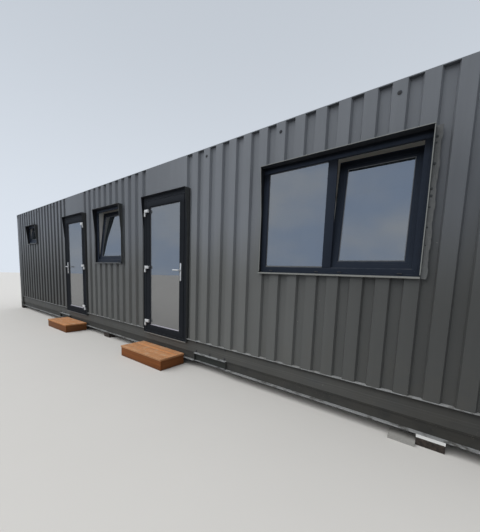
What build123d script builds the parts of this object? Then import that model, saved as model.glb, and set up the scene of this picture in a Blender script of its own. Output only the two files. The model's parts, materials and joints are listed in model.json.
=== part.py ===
"""A 12.2 m container house: a steel box with ribbed walls, two glazed doors and three windows.

Lengths are in millimetres. X runs along the house, -Y is the side with the doors, Z is up.
The origin lies on the ground, at the middle of the box that holds the house and its steps.
"""
from build123d import *
import math
import os

# Overall box, over the corner castings
house_length = 12192
house_width = 2438
house_height = 2896
ground_gap = 95

# Corner castings and posts
casting_length = 178
casting_depth = 162
casting_height = 118
casting_wall = 28
casting_slot_height = 79
casting_slot_width = 51
post_wall = 6
post_setback = 3

# Bottom rails: an upper and a lower channel, both open outwards
rail_height = 302
rail_band = 118
rail_plate = 8
rail_upper_web = 28
rail_lower_web = 40
pocket_width = 600
pocket_spacing = 5000
pocket_ledge = 8
pocket_setback = 12
pocket_flange_cut = 20

# Ribbed steel sheet of the walls
crest_setback = 6
rib_depth = 36
rib_pitch = 217.1
crest_width = 108
rib_run = 14
wall_sheet = 2
seam = 0.5
cut_margin = 1

# Roof
edge_strip = 8
edge_strip_width = 110
roof_rib_depth = 20
roof_rib_pitch = 360
roof_crest_width = 180
roof_rib_run = 30
roof_sheet_plate = 2
top_rail_width = 70

# Floor, lining and ceiling
floor_top = 246
deck_plate = 28
beam_width = 60
beam_spacing = 400
beam_plate = 5
ceiling_plate = 100

# Casings round the doors and windows
casing_sheet = 3
casing_proud = 20
hood_proud = 65
hood_taper = 500
sill_proud = 34
head_drop = 438
flashing_plate = 3
flashing_height = 16
flashing_drop = 2
door_flashing_height = 11
door_flashing_drop = 8
joint = 0.4

# Doors: two like doors, hung on opposite sides
door_casing_width = 1060
right_door_left_edge = 985
door_offset_ribs = 15
door_frame_proud = 12
door_frame_face = 58
door_frame_depth = 85
door_stop_width = 18
door_stop_depth = 20
threshold_face = 30
leaf_clearance = 5
leaf_lock_clearance = 9
leaf_depth = 60
leaf_stile = 104
leaf_bottom_rail = 100
door_pane_depth = 24
door_pane_setback = 16

# Windows: the outer two are placed from the ends of the house, and sills are heights above its underside
window_frame_setback = 20
window_frame_face = 61
window_frame_foot = 76
window_lip_depth = 20
window_frame_depth = 88
window_rebate = 20
sash_clearance = 4
sash_seat = 0.3
sash_face = 60
sash_depth = 66
sash_tilt = 6.5
pane_depth = 24
pane_setback = 14
mullion_face = 88
big_window_from_end = 1266
big_window_width = 1551
big_window_sill = 1300
big_window_fixed_pane = 660
middle_window_left = -729
middle_window_width = 1006
middle_window_sill = 1396
small_window_from_end = 1056
small_window_width = 790
small_window_sill = 1930

# Door hinges: three on each door, with white covers
hinge_radius = 12
hinge_pin_radius = 6
hinge_pin_clearance = 0.3
hinge_leaf_gap = 5
hinge_axis_offset = 7
hinge_barrel = 57
hinge_end_gap = 1
hinge_flag_width = 105
hinge_bracket_width = 22
hinge_low = 417
hinge_middle = 1312
hinge_high = 2207

# Door handles
handle_height = 1305
handle_plate_width = 34
handle_plate_length = 262
handle_plate_depth = 9
handle_plate_above = 105
handle_backset = 45
lever_length = 125
lever_reach = 52
lever_radius = 10
spindle_radius = 8
spindle_clearance = 0.5
lever_gap = 1

# Wooden box steps in front of the doors
step_width = 1040
step_depth = 420
step_height = 165
step_board = 26
step_shift = -35

# Timber pads under the rails
pad_length = 200
pad_depth = 140
shim_plate = 28
shim_pad_from_end = 1076
middle_pad_place = -360
loose_board_reach = 50

os.makedirs("parts", exist_ok=True)

# Levels above the ground
base = ground_gap
top = base + house_height
rail_top = base + rail_height
floor_level = base + floor_top
head_level = top - head_drop
strip_under = top - edge_strip
roof_trough = strip_under - roof_rib_depth
ceiling_top = top - casting_height
ceiling_under = ceiling_top - ceiling_plate

# Outer planes. The steps reach past the front wall, so the house stands behind the origin.
half_length = house_length / 2
shim_pad_place = half_length - shim_pad_from_end
front = -house_width / 2 + step_depth / 2
back = house_width / 2 + step_depth / 2
middle = (front + back) / 2
crest_plane = front + crest_setback
recess_plane = crest_plane + rib_depth
lining_outside = recess_plane + wall_sheet
lining_inside = front + casting_depth
wall_half = half_length - casting_length
end_half = house_width / 2 - casting_depth
end_lining_outside = crest_setback + rib_depth + wall_sheet

window_lip = crest_plane + window_frame_setback
window_rebate_plane = window_lip + window_lip_depth
window_back = window_lip + window_frame_depth
door_face = crest_plane - door_frame_proud
door_frame_back = door_face + door_frame_depth

# Places along the front wall
right_door = (right_door_left_edge, right_door_left_edge + door_casing_width)
left_door = tuple(edge - door_offset_ribs * rib_pitch for edge in right_door)
big_window = (half_length - big_window_from_end - big_window_width, half_length - big_window_from_end)
middle_window = (middle_window_left, middle_window_left + middle_window_width)
small_window = (small_window_from_end - half_length, small_window_from_end + small_window_width - half_length)
windows = {
    "small": (small_window, small_window_sill),
    "middle": (middle_window, middle_window_sill),
    "big": (big_window, big_window_sill),
}


def block(x0, x1, y0, y1, z0, z1):
    """A box between two corners."""
    return Pos((x0 + x1) / 2, (y0 + y1) / 2, (z0 + z1) / 2) * Box(x1 - x0, y1 - y0, z1 - z0)


def along_x(points, x0, x1):
    """A section in Y and Z, drawn out along X."""
    return Pos(x0, 0, 0) * extrude(Plane.YZ * make_face(Polyline(points, close=True)), x1 - x0)


def upright(points, z0, z1):
    """A section in X and Y, drawn upwards."""
    return Pos(0, 0, z0) * extrude(make_face(Polyline(points, close=True)), z1 - z0)


def mirrored_back(solid):
    """The like piece at the back, mirrored about the plane through the middle of the house."""
    return solid.mirror(Plane((0, middle, 0), z_dir=(0, 1, 0)))


def mirrored_end(solid):
    """The like piece at the other end of the house."""
    return solid.mirror(Plane.YZ)


def save(name, *solids):
    """Writes one sub-part, with each of its solids."""
    shape = solids[0] if len(solids) == 1 else Compound(list(solids))
    export_step(shape, f"parts/{name}.step")


# Ribbed sheet

def crest_spans(half, plates=()):
    """Where the sheet stands at crest level, from one end of a wall to the other.

    The last crest at each end runs on flat to the post. A plate (first, final) joins the crests it counts.
    """
    last = int((half - crest_width / 2) // rib_pitch)
    spans = []
    for number in range(-last, last + 1):
        left = number * rib_pitch - crest_width / 2
        right = number * rib_pitch + crest_width / 2
        left = -half - rib_run if number == -last else left
        right = half + rib_run if number == last else right
        if any(first < number <= final for first, final in plates):
            spans[-1] = (spans[-1][0], right)
        else:
            spans.append((left, right))
    return spans


def plate_over(door):
    """The first and final crest that the flat plate over a door joins."""
    first = math.ceil((door[0] + crest_width / 2) / rib_pitch)
    final = math.floor((door[1] - crest_width / 2) / rib_pitch)
    return first, final


def rib_line(spans, start, end, depth, run, shrink):
    """Points (place, depth) of the ribbed line between start and end."""
    corners = []
    for left, right in spans:
        corners.append((left + shrink - run, depth))
        corners.append((left + shrink, 0))
        corners.append((right - shrink, 0))
        corners.append((right - shrink + run, depth))

    def level(place):
        for (a, da), (b, db) in zip(corners, corners[1:]):
            if a <= place <= b:
                return da + (db - da) * (place - a) / (b - a)
        return depth

    inside = [corner for corner in corners if start < corner[0] < end]
    return [(start, level(start))] + inside + [(end, level(end))]


def ribbed_section(spans, start, end):
    """Closed outline (place, depth) of the bent sheet, of even thickness."""
    bend = math.atan2(rib_depth, rib_run)
    shrink = wall_sheet * math.tan(bend / 2)
    outside = rib_line(spans, start, end, rib_depth, rib_run, 0)
    inside = rib_line(spans, start, end, rib_depth, rib_run, shrink)
    return outside + [(place, depth + wall_sheet) for place, depth in reversed(inside)]


def front_sheet(spans, start, end, z0, z1):
    """A piece of the front wall's sheet."""
    points = [(place, crest_plane + depth) for place, depth in ribbed_section(spans, start, end)]
    return upright(points, z0, z1)


def sheet_round_window(spans, start, end, name):
    """The sheet from start to end as four pieces round a window."""
    window, sill = windows[name]
    sill_level = base + sill
    return [
        front_sheet(spans, start, window[0], rail_top, strip_under),
        front_sheet(spans, window[1], end, rail_top, strip_under),
        front_sheet(spans, window[0] + seam, window[1] - seam, rail_top, sill_level),
        front_sheet(spans, window[0] + seam, window[1] - seam, head_level, strip_under),
    ]


def make_front_wall():
    spans = crest_spans(wall_half, [plate_over(left_door), plate_over(right_door)])
    save("front_wall_left", *sheet_round_window(spans, -wall_half, left_door[0], "small"))
    save("front_wall_middle", *sheet_round_window(spans, left_door[1], right_door[0], "middle"))
    save("front_wall_right", *sheet_round_window(spans, right_door[1], wall_half, "big"))
    plates = []
    for door in (left_door, right_door):
        plates.append(front_sheet(spans, door[0] + seam, door[1] - seam, head_level, strip_under))
    save("plates_over_doors", *plates)


def make_other_walls():
    spans = crest_spans(wall_half)
    save("back_wall", mirrored_back(front_sheet(spans, -wall_half, wall_half, rail_top, strip_under)))
    section = ribbed_section(crest_spans(end_half), -end_half, end_half)
    inset = half_length - crest_setback
    left_end = upright([(depth - inset, place + middle) for place, depth in section], rail_top, strip_under)
    save("end_walls", left_end, mirrored_end(left_end))


# Frame of the box

def corner_block(z0, z1):
    """A block as long and deep as a casting, at the front left."""
    return block(-half_length, casting_length - half_length, front, front + casting_depth, z0, z1)


def casting(z0):
    """A hollow corner casting at the front left, with an upright slot in its outer side and end."""
    body = corner_block(z0, z0 + casting_height)
    hollow = block(casting_wall - half_length, casting_length - casting_wall - half_length,
                   front + casting_wall, front + casting_depth - casting_wall,
                   z0 + casting_wall, z0 + casting_height - casting_wall)
    middle_x = casting_length / 2 - half_length
    middle_z = z0 + casting_height / 2
    slot = SlotOverall(casting_slot_height, casting_slot_width)
    side_plane = Plane((middle_x, front, middle_z), x_dir=(0, 0, 1), z_dir=(0, 1, 0))
    end_place = (-half_length, front + casting_depth / 2, middle_z)
    end_plane = Plane(end_place, x_dir=(0, 0, 1), z_dir=(1, 0, 0))
    side_slot = extrude(side_plane * slot, casting_wall)
    end_slot = extrude(end_plane * slot, casting_wall)
    return body - hollow - side_slot - end_slot


def four_corners(solid):
    """The solid at the front left, and its like at the other three corners."""
    right = mirrored_end(solid)
    return [solid, right, mirrored_back(solid), mirrored_back(right)]


def make_corners():
    save("corner_castings", *four_corners(casting(base)), *four_corners(casting(top - casting_height)))
    x0 = post_setback - half_length
    x1 = casting_length - half_length
    y0 = front + post_setback
    y1 = front + casting_depth
    z0 = base + casting_height
    z1 = top - casting_height
    hollow = block(x0 + post_wall, x1 - post_wall, y0 + post_wall, y1 - post_wall, z0, z1)
    save("corner_posts", *four_corners(block(x0, x1, y0, y1, z0, z1) - hollow))


def rail_section(outside):
    """Section (depth, height) of a bottom rail, with its flanges reaching out to the face of the castings."""
    upper_back = rail_upper_web + rail_plate
    lower_back = rail_lower_web + rail_plate
    return [
        (outside, base),
        (lower_back, base),
        (lower_back, base + rail_band),
        (upper_back, base + rail_band),
        (upper_back, rail_top - rail_plate),
        (end_lining_outside, rail_top - rail_plate),
        (end_lining_outside, rail_top),
        (outside, rail_top),
        (outside, rail_top - rail_plate),
        (rail_upper_web, rail_top - rail_plate),
        (rail_upper_web, base + rail_band - rail_plate),
        (rail_lower_web, base + rail_band - rail_plate),
        (rail_lower_web, base + rail_plate),
        (outside, base + rail_plate),
    ]


def side_rail():
    """The plain bottom rail of the front side."""
    return along_x([(front + depth, height) for depth, height in rail_section(0)], -wall_half, wall_half)


def pocket_frame(place):
    """The ledge and end plates round one of the fork pocket places in the lower channel."""
    x0 = place - pocket_width / 2
    x1 = place + pocket_width / 2
    y0 = front + pocket_setback
    y1 = front + rail_lower_web
    z0 = base + rail_plate
    z1 = base + rail_band - rail_plate
    ledge = block(x0, x1, front, front + rail_upper_web, z1, z1 + pocket_ledge)
    ends = [block(x, x + pocket_ledge, y0, y1, z0, z1) for x in (x0, x1 - pocket_ledge)]
    return ledge + ends[0] + ends[1]


def make_bottom_rails():
    rail = side_rail()
    for place in (-pocket_spacing / 2, pocket_spacing / 2):
        rail += pocket_frame(place)
        rail -= block(place - pocket_width / 2, place + pocket_width / 2,
                      front - cut_margin, front + pocket_flange_cut,
                      base - cut_margin, base + rail_plate + cut_margin)
    save("bottom_rail_back", mirrored_back(rail))
    for door in (left_door, right_door):
        rail -= block(door[0], door[1], front - cut_margin, lining_outside + cut_margin,
                      floor_level, rail_top + cut_margin)
    save("bottom_rail_front", rail)
    section = [(depth - half_length, height) for depth, height in rail_section(0)]
    end = extrude(Plane.XZ * make_face(Polyline(section, close=True)), 2 * end_half)
    end = Pos(0, middle + end_half, 0) * end
    save("bottom_end_rails", end, mirrored_end(end))


def make_top_rails():
    side_y = lining_outside
    side = block(-wall_half, wall_half, side_y, side_y + top_rail_width, ceiling_top, roof_trough)
    end_x = end_lining_outside - half_length
    end = block(end_x, end_x + top_rail_width, middle - end_half, middle + end_half, ceiling_top, roof_trough)
    save("top_rails", side, mirrored_back(side), end, mirrored_end(end))


# Roof

def roof_section(start, end):
    """Closed outline (x, z) of the roof sheet, whose ribs run across the house."""
    half = (end - start) / 2
    last = int((half - roof_crest_width / 2 - roof_rib_run) // roof_rib_pitch)
    crests = [number * roof_rib_pitch for number in range(-last, last + 1)]
    spans = [(crest - roof_crest_width / 2, crest + roof_crest_width / 2) for crest in crests]
    depth = roof_rib_depth - roof_sheet_plate
    shrink = roof_sheet_plate * math.tan(math.atan2(depth, roof_rib_run) / 2)
    over = rib_line(spans, start, end, depth, roof_rib_run, 0)
    under = rib_line(spans, start, end, depth, roof_rib_run, shrink)
    upper = [(place, strip_under - drop) for place, drop in over]
    lower = [(place, strip_under - drop - roof_sheet_plate) for place, drop in reversed(under)]
    return upper + lower


def make_roof():
    end = half_length - end_lining_outside
    section = make_face(Polyline(roof_section(-end, end), close=True))
    length = 2 * (house_width / 2 - (lining_outside - front))
    sheet = Pos(0, middle + length / 2, 0) * extrude(Plane.XZ * section, length)
    for casting_space in four_corners(corner_block(ceiling_top, top + cut_margin)):
        sheet -= casting_space
    save("roof_sheet", sheet)
    side = block(-wall_half, wall_half, crest_plane, crest_plane + edge_strip_width, strip_under, top)
    end_x = crest_setback - half_length
    strip = block(end_x, end_x + edge_strip_width, middle - end_half, middle + end_half, strip_under, top)
    side -= block(-half_length, end_x + edge_strip_width, middle - end_half, middle, strip_under, top)
    save("roof_edge_strips", side, mirrored_back(side), strip, mirrored_end(strip))
    save("ceiling", block(end_x_inside(), -end_x_inside(), lining_inside, 2 * middle - lining_inside,
                          ceiling_under, ceiling_top))


def end_x_inside():
    """The inner face of the left end's lining."""
    return casting_depth - half_length


# Floor

def make_floor():
    web_back = rail_upper_web + rail_plate
    deck = block(web_back - half_length, half_length - web_back, front + web_back, back - web_back,
                 floor_level - deck_plate, floor_level)
    for post_space in four_corners(corner_block(base, top)):
        deck -= post_space
    save("floor_deck", deck)
    z0 = base + rail_band
    z1 = floor_level - deck_plate
    count = int((2 * wall_half - beam_spacing) // beam_spacing)
    first = -(count - 1) * beam_spacing / 2
    beams = []
    for number in range(count):
        x0 = first + number * beam_spacing - beam_width / 2
        whole = block(x0, x0 + beam_width, front + web_back, back - web_back, z0, z1)
        hollow = block(x0 + beam_plate, x0 + beam_width, front, back, z0 + beam_plate, z1 - beam_plate)
        beams.append(whole - hollow)
    save("floor_beams", *beams)


# Insulated lining

def lining(x0, x1, z0=floor_level, z1=ceiling_top):
    """A slab of the front wall's insulated lining."""
    return block(x0, x1, lining_outside, lining_inside, z0, z1)


def lining_round_window(start, end, name):
    """The lining from start to end as four slabs round a window."""
    window, sill = windows[name]
    return [
        lining(start, window[0]),
        lining(window[1], end),
        lining(window[0] + seam, window[1] - seam, z1=base + sill),
        lining(window[0] + seam, window[1] - seam, z0=head_level),
    ]


def make_linings():
    slabs = lining_round_window(-wall_half, left_door[0], "small")
    slabs += lining_round_window(left_door[1], right_door[0], "middle")
    slabs += lining_round_window(right_door[1], wall_half, "big")
    slabs += [lining(door[0] + seam, door[1] - seam, z0=head_level) for door in (left_door, right_door)]
    save("lining_front", *slabs)
    save("lining_back", mirrored_back(lining(-wall_half, wall_half)))
    end = block(end_lining_outside - half_length, end_x_inside(), middle - end_half, middle + end_half,
                floor_level, ceiling_top)
    save("lining_ends", end, mirrored_end(end))


# Casings

def cheek(x0, sill_level, inner):
    """A side plate of a casing, from its inner edge outwards. It widens under the hood."""
    low = crest_plane - casing_proud
    high = crest_plane - hood_proud
    z0 = sill_level + casing_sheet + joint
    z1 = head_level - casing_sheet - joint
    bend = max(z0, z1 - hood_taper)
    outline = [(low, z0), (inner, z0), (inner, z1), (high, z1), (low, bend)]
    if bend == z0:
        outline.pop()
    return along_x(outline, x0, x0 + casing_sheet)


def casing(span, sill_level, sill_front, inner):
    """Hood, cheeks and sill of a casing, as four plates."""
    x0, x1 = span
    hood = block(x0, x1, crest_plane - hood_proud, inner, head_level - casing_sheet, head_level)
    sill = block(x0, x1, sill_front, inner, sill_level, sill_level + casing_sheet)
    return [hood, cheek(x0, sill_level, inner), cheek(x1 - casing_sheet, sill_level, inner), sill]


def flashing(span, sill_level, sill_front, drop, height):
    """The bright strip on the front edge of a sill."""
    return block(span[0], span[1], sill_front - flashing_plate, sill_front, sill_level - drop,
                 sill_level - drop + height)


def make_casings():
    sill_front = crest_plane - sill_proud + flashing_plate
    plates = []
    flashings = []
    for window, sill in windows.values():
        plates += casing(window, base + sill, sill_front, window_back)
        flashings.append(flashing(window, base + sill, sill_front, flashing_drop, flashing_height))
    save("window_casings", *plates)
    plates = []
    sill_front = crest_plane - casing_proud
    for door in (left_door, right_door):
        plates += casing(door, floor_level, sill_front, door_frame_back)
        flashings.append(flashing(door, floor_level, sill_front, door_flashing_drop, door_flashing_height))
    save("door_casings", *plates)
    save("sill_flashings", *flashings)


# Windows

def four_sides(x0, x1, z0, z1, y0, y1, side, head, foot, end_side):
    """Two uprights and two cross members round a rectangle.

    The cross members stop at end_side from each edge.
    """
    cross_x0 = x0 + end_side + joint
    cross_x1 = x1 - end_side - joint
    return [
        block(x0, x0 + side, y0, y1, z0, z1),
        block(x1 - side, x1, y0, y1, z0, z1),
        block(cross_x0, cross_x1, y0, y1, z1 - head, z1),
        block(cross_x0, cross_x1, y0, y1, z0, z0 + foot),
    ]


def window_inside(span, sill):
    """The space inside a window's casing: left, right, bottom and top."""
    x0 = span[0] + casing_sheet
    x1 = span[1] - casing_sheet
    return x0, x1, base + sill + casing_sheet, head_level - casing_sheet


window_body = window_frame_face - window_rebate - sash_clearance
window_body_foot = window_frame_foot - window_rebate - sash_clearance


def window_frame(span, sill):
    """The fixed frame, a lip in front of a narrower body, as four members."""
    x0, x1, z0, z1 = window_inside(span, sill)
    face = window_frame_face
    lips = four_sides(x0, x1, z0, z1, window_lip, window_rebate_plane, face, face, window_frame_foot, face)
    bodies = four_sides(x0, x1, z0, z1, window_rebate_plane, window_back,
                        window_body, window_body, window_body_foot, window_body)
    return [lip + body for lip, body in zip(lips, bodies)]


def sash(x0, x1, z0, z1):
    """A sash and its pane, tilted inwards about the sash's lower edge on the room side.

    x0 to z1 are the edges of the opening between the lips. The sash reaches past them by the rebate.
    """
    outer_x0 = x0 - window_rebate
    outer_x1 = x1 + window_rebate
    outer_z0 = z0 - window_rebate - sash_clearance + sash_seat
    outer_z1 = z1 + window_rebate - sash_clearance
    y0 = window_rebate_plane + sash_seat
    y1 = y0 + sash_depth
    member = sash_face + window_rebate
    foot = z0 + sash_face - outer_z0
    members = four_sides(outer_x0, outer_x1, outer_z0, outer_z1, y0, y1, member, member, foot, member)
    pane = block(outer_x0 + member, outer_x1 - member, y0 + pane_setback, y0 + pane_setback + pane_depth,
                 outer_z0 + foot, outer_z1 - member)
    tilt = Pos(0, y1, outer_z0) * Rot(-sash_tilt, 0, 0) * Pos(0, -y1, -outer_z0)
    return [tilt * member_solid for member_solid in members], tilt * pane


def make_windows():
    face = window_frame_face
    panes = []
    frames = []
    for name in ("small", "middle"):
        x0, x1, z0, z1 = window_inside(*windows[name])
        frames += window_frame(*windows[name])
        members, pane = sash(x0 + face, x1 - face, z0 + window_frame_foot, z1 - face)
        save(f"sash_{name}_window", *members)
        panes.append(pane)

    x0, x1, z0, z1 = window_inside(*windows["big"])
    mullion_x0 = x0 + face + big_window_fixed_pane
    mullion_x1 = mullion_x0 + mullion_face
    side = window_rebate + sash_clearance
    foot = z0 + window_frame_foot + joint
    head = z1 - face - joint
    mullion_lip = block(mullion_x0, mullion_x1, window_lip, window_rebate_plane, foot, head)
    mullion_body = block(mullion_x0 + side, mullion_x1 - side, window_rebate_plane, window_back, foot, head)
    save("window_frames", *frames, *window_frame(*windows["big"]), mullion_lip + mullion_body)
    members, pane = sash(mullion_x1, x1 - face, z0 + window_frame_foot, z1 - face)
    save("sash_big_window", *members)
    panes.append(pane)
    fixed = block(x0 + window_body, mullion_x0 + side,
                  window_rebate_plane, window_rebate_plane + pane_depth,
                  z0 + window_body_foot, z1 - window_body)
    save("window_panes", *panes, fixed)


# Doors

leaf_back = door_face + leaf_depth
hinge_y = door_face - hinge_radius - hinge_leaf_gap


def door_leaf_edges(door, hinge_side):
    """Left, right, bottom and top of a door's leaf. The gap is wider on the lock's side."""
    frame = casing_sheet + door_frame_face
    left_gap = leaf_clearance if hinge_side < 0 else leaf_lock_clearance
    right_gap = leaf_lock_clearance if hinge_side < 0 else leaf_clearance
    foot = floor_level + casing_sheet + threshold_face + leaf_clearance
    head = head_level - frame - leaf_clearance
    return door[0] + frame + left_gap, door[1] - frame - right_gap, foot, head


def door_frame(door):
    """The door's frame with the stop behind the leaf, as four members."""
    x0, x1 = door[0] + casing_sheet, door[1] - casing_sheet
    z0, z1 = floor_level + casing_sheet, head_level - casing_sheet
    stop_y = door_face + door_frame_depth - door_stop_depth
    stop = door_frame_face + door_stop_width
    face = door_frame_face
    fronts = four_sides(x0, x1, z0, z1, door_face, stop_y, face, face, threshold_face, face)
    stops = four_sides(x0, x1, z0, z1, stop_y, door_frame_back, stop, stop, threshold_face, stop)
    return [front_part + stop_part for front_part, stop_part in zip(fronts, stops)]


def spindle_place(door, hinge_side):
    """Where the lever's spindle goes through the leaf."""
    x0, x1, z0, z1 = door_leaf_edges(door, hinge_side)
    edge = x1 if hinge_side < 0 else x0
    return edge + hinge_side * handle_backset + hinge_side * handle_plate_width / 2, base + handle_height


on_foot = (Align.CENTER, Align.CENTER, Align.MIN)


def hole_along_y(x, z, radius, y0, y1):
    """A round bar along Y, also used to bore a hole."""
    return Pos(x, y0, z) * Rot(-90, 0, 0) * Cylinder(radius, y1 - y0, align=on_foot)


def door_leaf(door, hinge_side):
    """The leaf's stiles and rails, bored for the spindle, and its pane."""
    x0, x1, z0, z1 = door_leaf_edges(door, hinge_side)
    members = four_sides(x0, x1, z0, z1, door_face, leaf_back,
                         leaf_stile, leaf_stile, leaf_bottom_rail, leaf_stile)
    spindle_x, spindle_z = spindle_place(door, hinge_side)
    bore = hole_along_y(spindle_x, spindle_z, spindle_radius + spindle_clearance,
                        door_face - cut_margin, leaf_back + cut_margin)
    members = [member - bore if number < 2 else member for number, member in enumerate(members)]
    pane = block(x0 + leaf_stile, x1 - leaf_stile, door_face + door_pane_setback,
                 door_face + door_pane_setback + door_pane_depth, z0 + leaf_bottom_rail, z1 - leaf_stile)
    return members, pane


def hinge_x(door, hinge_side):
    """The hinge axis, just outside the leaf's edge."""
    x0, x1, z0, z1 = door_leaf_edges(door, hinge_side)
    return x0 - hinge_axis_offset if hinge_side < 0 else x1 + hinge_axis_offset


def hinge_levels():
    """Heights of the planes where each hinge's two barrels meet."""
    return [base + height for height in (hinge_low, hinge_middle, hinge_high)]


def hinge_frame_part(axis_x, hinge_side, level):
    """The barrel and pin that the frame carries."""
    foot = level - hinge_barrel
    barrel = Pos(axis_x, hinge_y, foot) * Cylinder(hinge_radius, hinge_barrel, align=on_foot)
    pin_length = 2 * hinge_barrel - hinge_end_gap
    pin = Pos(axis_x, hinge_y, foot) * Cylinder(hinge_pin_radius, pin_length, align=on_foot)
    outer_x = axis_x + hinge_side * hinge_bracket_width
    bracket = block(min(outer_x, axis_x), max(outer_x, axis_x), hinge_y, door_face, foot, level)
    return barrel + bracket + pin


def hinge_leaf_part(axis_x, hinge_side, level):
    """The bored barrel and the flag that the leaf carries."""
    foot = level + hinge_end_gap
    head = foot + hinge_barrel
    barrel = Pos(axis_x, hinge_y, foot) * Cylinder(hinge_radius, hinge_barrel, align=on_foot)
    far = axis_x - hinge_side * hinge_flag_width
    arm = block(min(axis_x, far), max(axis_x, far), hinge_y - hinge_radius, hinge_y, foot, head)
    leaf_side = axis_x - hinge_side * hinge_axis_offset
    flag = block(min(leaf_side, far), max(leaf_side, far), hinge_y - hinge_radius, door_face, foot, head)
    bore_radius = hinge_pin_radius + hinge_pin_clearance
    bore_length = hinge_barrel + 2 * cut_margin
    bore = Pos(axis_x, hinge_y, foot - cut_margin) * Cylinder(bore_radius, bore_length, align=on_foot)
    return barrel + arm + flag - bore


def handle_plates(door, hinge_side):
    """The long back plates on both faces of the leaf."""
    x, z = spindle_place(door, hinge_side)
    z1 = z + handle_plate_above
    z0 = z1 - handle_plate_length
    half = handle_plate_width / 2
    bore = hole_along_y(x, z, spindle_radius + spindle_clearance,
                        door_face - handle_plate_depth - cut_margin,
                        leaf_back + handle_plate_depth + cut_margin)
    outside = block(x - half, x + half, door_face - handle_plate_depth, door_face, z0, z1)
    inside = block(x - half, x + half, leaf_back, leaf_back + handle_plate_depth, z0, z1)
    return [outside - bore, inside - bore]


def lever(door, hinge_side):
    """Both lever handles on their spindle. The grips point to the hinge side."""
    x, z = spindle_place(door, hinge_side)
    front_y = door_face - lever_reach
    back_y = leaf_back + lever_reach
    spindle = hole_along_y(x, z, spindle_radius, front_y, back_y)
    grips = []
    for grip_y in (front_y, back_y):
        turn = Rot(0, -90 if hinge_side < 0 else 90, 0)
        grip = Pos(x, grip_y, z) * turn * Cylinder(lever_radius, lever_length, align=on_foot)
        grips.append(grip + Pos(x, grip_y, z) * Sphere(lever_radius))
    return spindle + grips[0] + grips[1]


def make_doors():
    frames = []
    frame_parts = []
    for name, door, hinge_side in (("left", left_door, 1), ("right", right_door, -1)):
        frames += door_frame(door)
        members, pane = door_leaf(door, hinge_side)
        save(f"leaf_{name}_door", *members)
        save(f"pane_{name}_door", pane)
        axis_x = hinge_x(door, hinge_side)
        frame_parts += [hinge_frame_part(axis_x, hinge_side, level) for level in hinge_levels()]
        leaf_parts = [hinge_leaf_part(axis_x, hinge_side, level) for level in hinge_levels()]
        save(f"hinge_flags_{name}", *leaf_parts)
        save(f"handle_plates_{name}", *handle_plates(door, hinge_side))
        save(f"lever_{name}", lever(door, hinge_side))
        spindle_x, spindle_z = spindle_place(door, hinge_side)
        print(f"{name} door: hinge axis {axis_x:.2f} {hinge_y:.2f}, "
              f"spindle ({spindle_x:.2f}, {spindle_z:.2f}), "
              f"cabin {lining_inside:.2f} {2 * middle - lining_inside:.2f}")
    save("door_frames", *frames)
    save("hinge_pins", *frame_parts)


# Steps and pads

def make_steps():
    decks = []
    skirts = []
    for door in (left_door, right_door):
        centre = (door[0] + door[1]) / 2 + step_shift
        x0 = centre - step_width / 2
        x1 = centre + step_width / 2
        y1 = front
        y0 = y1 - step_depth
        decks.append(block(x0, x1, y0, y1, step_height - step_board, step_height))
        outer = block(x0, x1, y0, y1, 0, step_height - step_board)
        inner = block(x0 + step_board, x1 - step_board, y0 + step_board, y1 - step_board, 0, step_height)
        skirts.append(outer - inner)
    save("step_decks", *decks)
    save("step_skirts", *skirts)


def pad(centre, y0, z0, z1):
    """A timber pad or board, as long as pad_length."""
    return block(centre - pad_length / 2, centre + pad_length / 2, y0, y0 + pad_depth, z0, z1)


def make_pads():
    timbers = four_corners(corner_block(0, base))
    shimmed = pad(shim_pad_place, front, 0, base - shim_plate)
    shim = pad(shim_pad_place, front, base - shim_plate, base)
    plain = pad(middle_pad_place, front, 0, base)
    timbers += [shimmed, mirrored_back(shimmed), plain, mirrored_back(plain)]
    loose_board = pad(shim_pad_place - pad_length, front - loose_board_reach, 0, shim_plate)
    save("support_timbers", *timbers)
    save("support_boards", shim, mirrored_back(shim), loose_board)


make_front_wall()
make_other_walls()
make_corners()
make_bottom_rails()
make_top_rails()
make_roof()
make_floor()
make_linings()
make_casings()
make_windows()
make_doors()
make_steps()
make_pads()
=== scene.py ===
"""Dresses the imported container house: paint, glass and wood, the small fittings, and the studio."""
import json
import math

import bmesh
import bpy
import numpy as np
from mathutils import Matrix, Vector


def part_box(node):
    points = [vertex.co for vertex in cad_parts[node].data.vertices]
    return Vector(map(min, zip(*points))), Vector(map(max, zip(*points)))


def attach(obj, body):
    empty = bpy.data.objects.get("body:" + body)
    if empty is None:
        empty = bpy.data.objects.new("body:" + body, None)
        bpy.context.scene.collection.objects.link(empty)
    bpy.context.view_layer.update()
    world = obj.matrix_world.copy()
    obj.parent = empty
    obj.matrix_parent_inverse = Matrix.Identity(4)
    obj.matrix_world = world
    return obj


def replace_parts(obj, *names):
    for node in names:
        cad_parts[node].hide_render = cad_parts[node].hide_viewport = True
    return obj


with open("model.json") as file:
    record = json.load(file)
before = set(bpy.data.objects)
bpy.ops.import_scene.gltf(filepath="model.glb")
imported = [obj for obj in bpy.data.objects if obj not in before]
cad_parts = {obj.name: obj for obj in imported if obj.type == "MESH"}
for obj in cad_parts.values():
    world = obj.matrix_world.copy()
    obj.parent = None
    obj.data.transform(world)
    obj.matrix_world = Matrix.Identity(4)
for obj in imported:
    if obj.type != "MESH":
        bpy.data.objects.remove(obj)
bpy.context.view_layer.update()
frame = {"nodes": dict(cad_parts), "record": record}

bl_info = {
    "name": "Container house",
    "version": (1, 0, 0),
    "blender": (4, 5, 0),
    "location": "3D View > Sidebar > House",
    "description": "Builds the finishes and small fittings of a container house round its packed model",
    "category": "Object",
}

X, Y, Z = 0, 1, 2
LOW, HIGH = 0, 1


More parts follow.
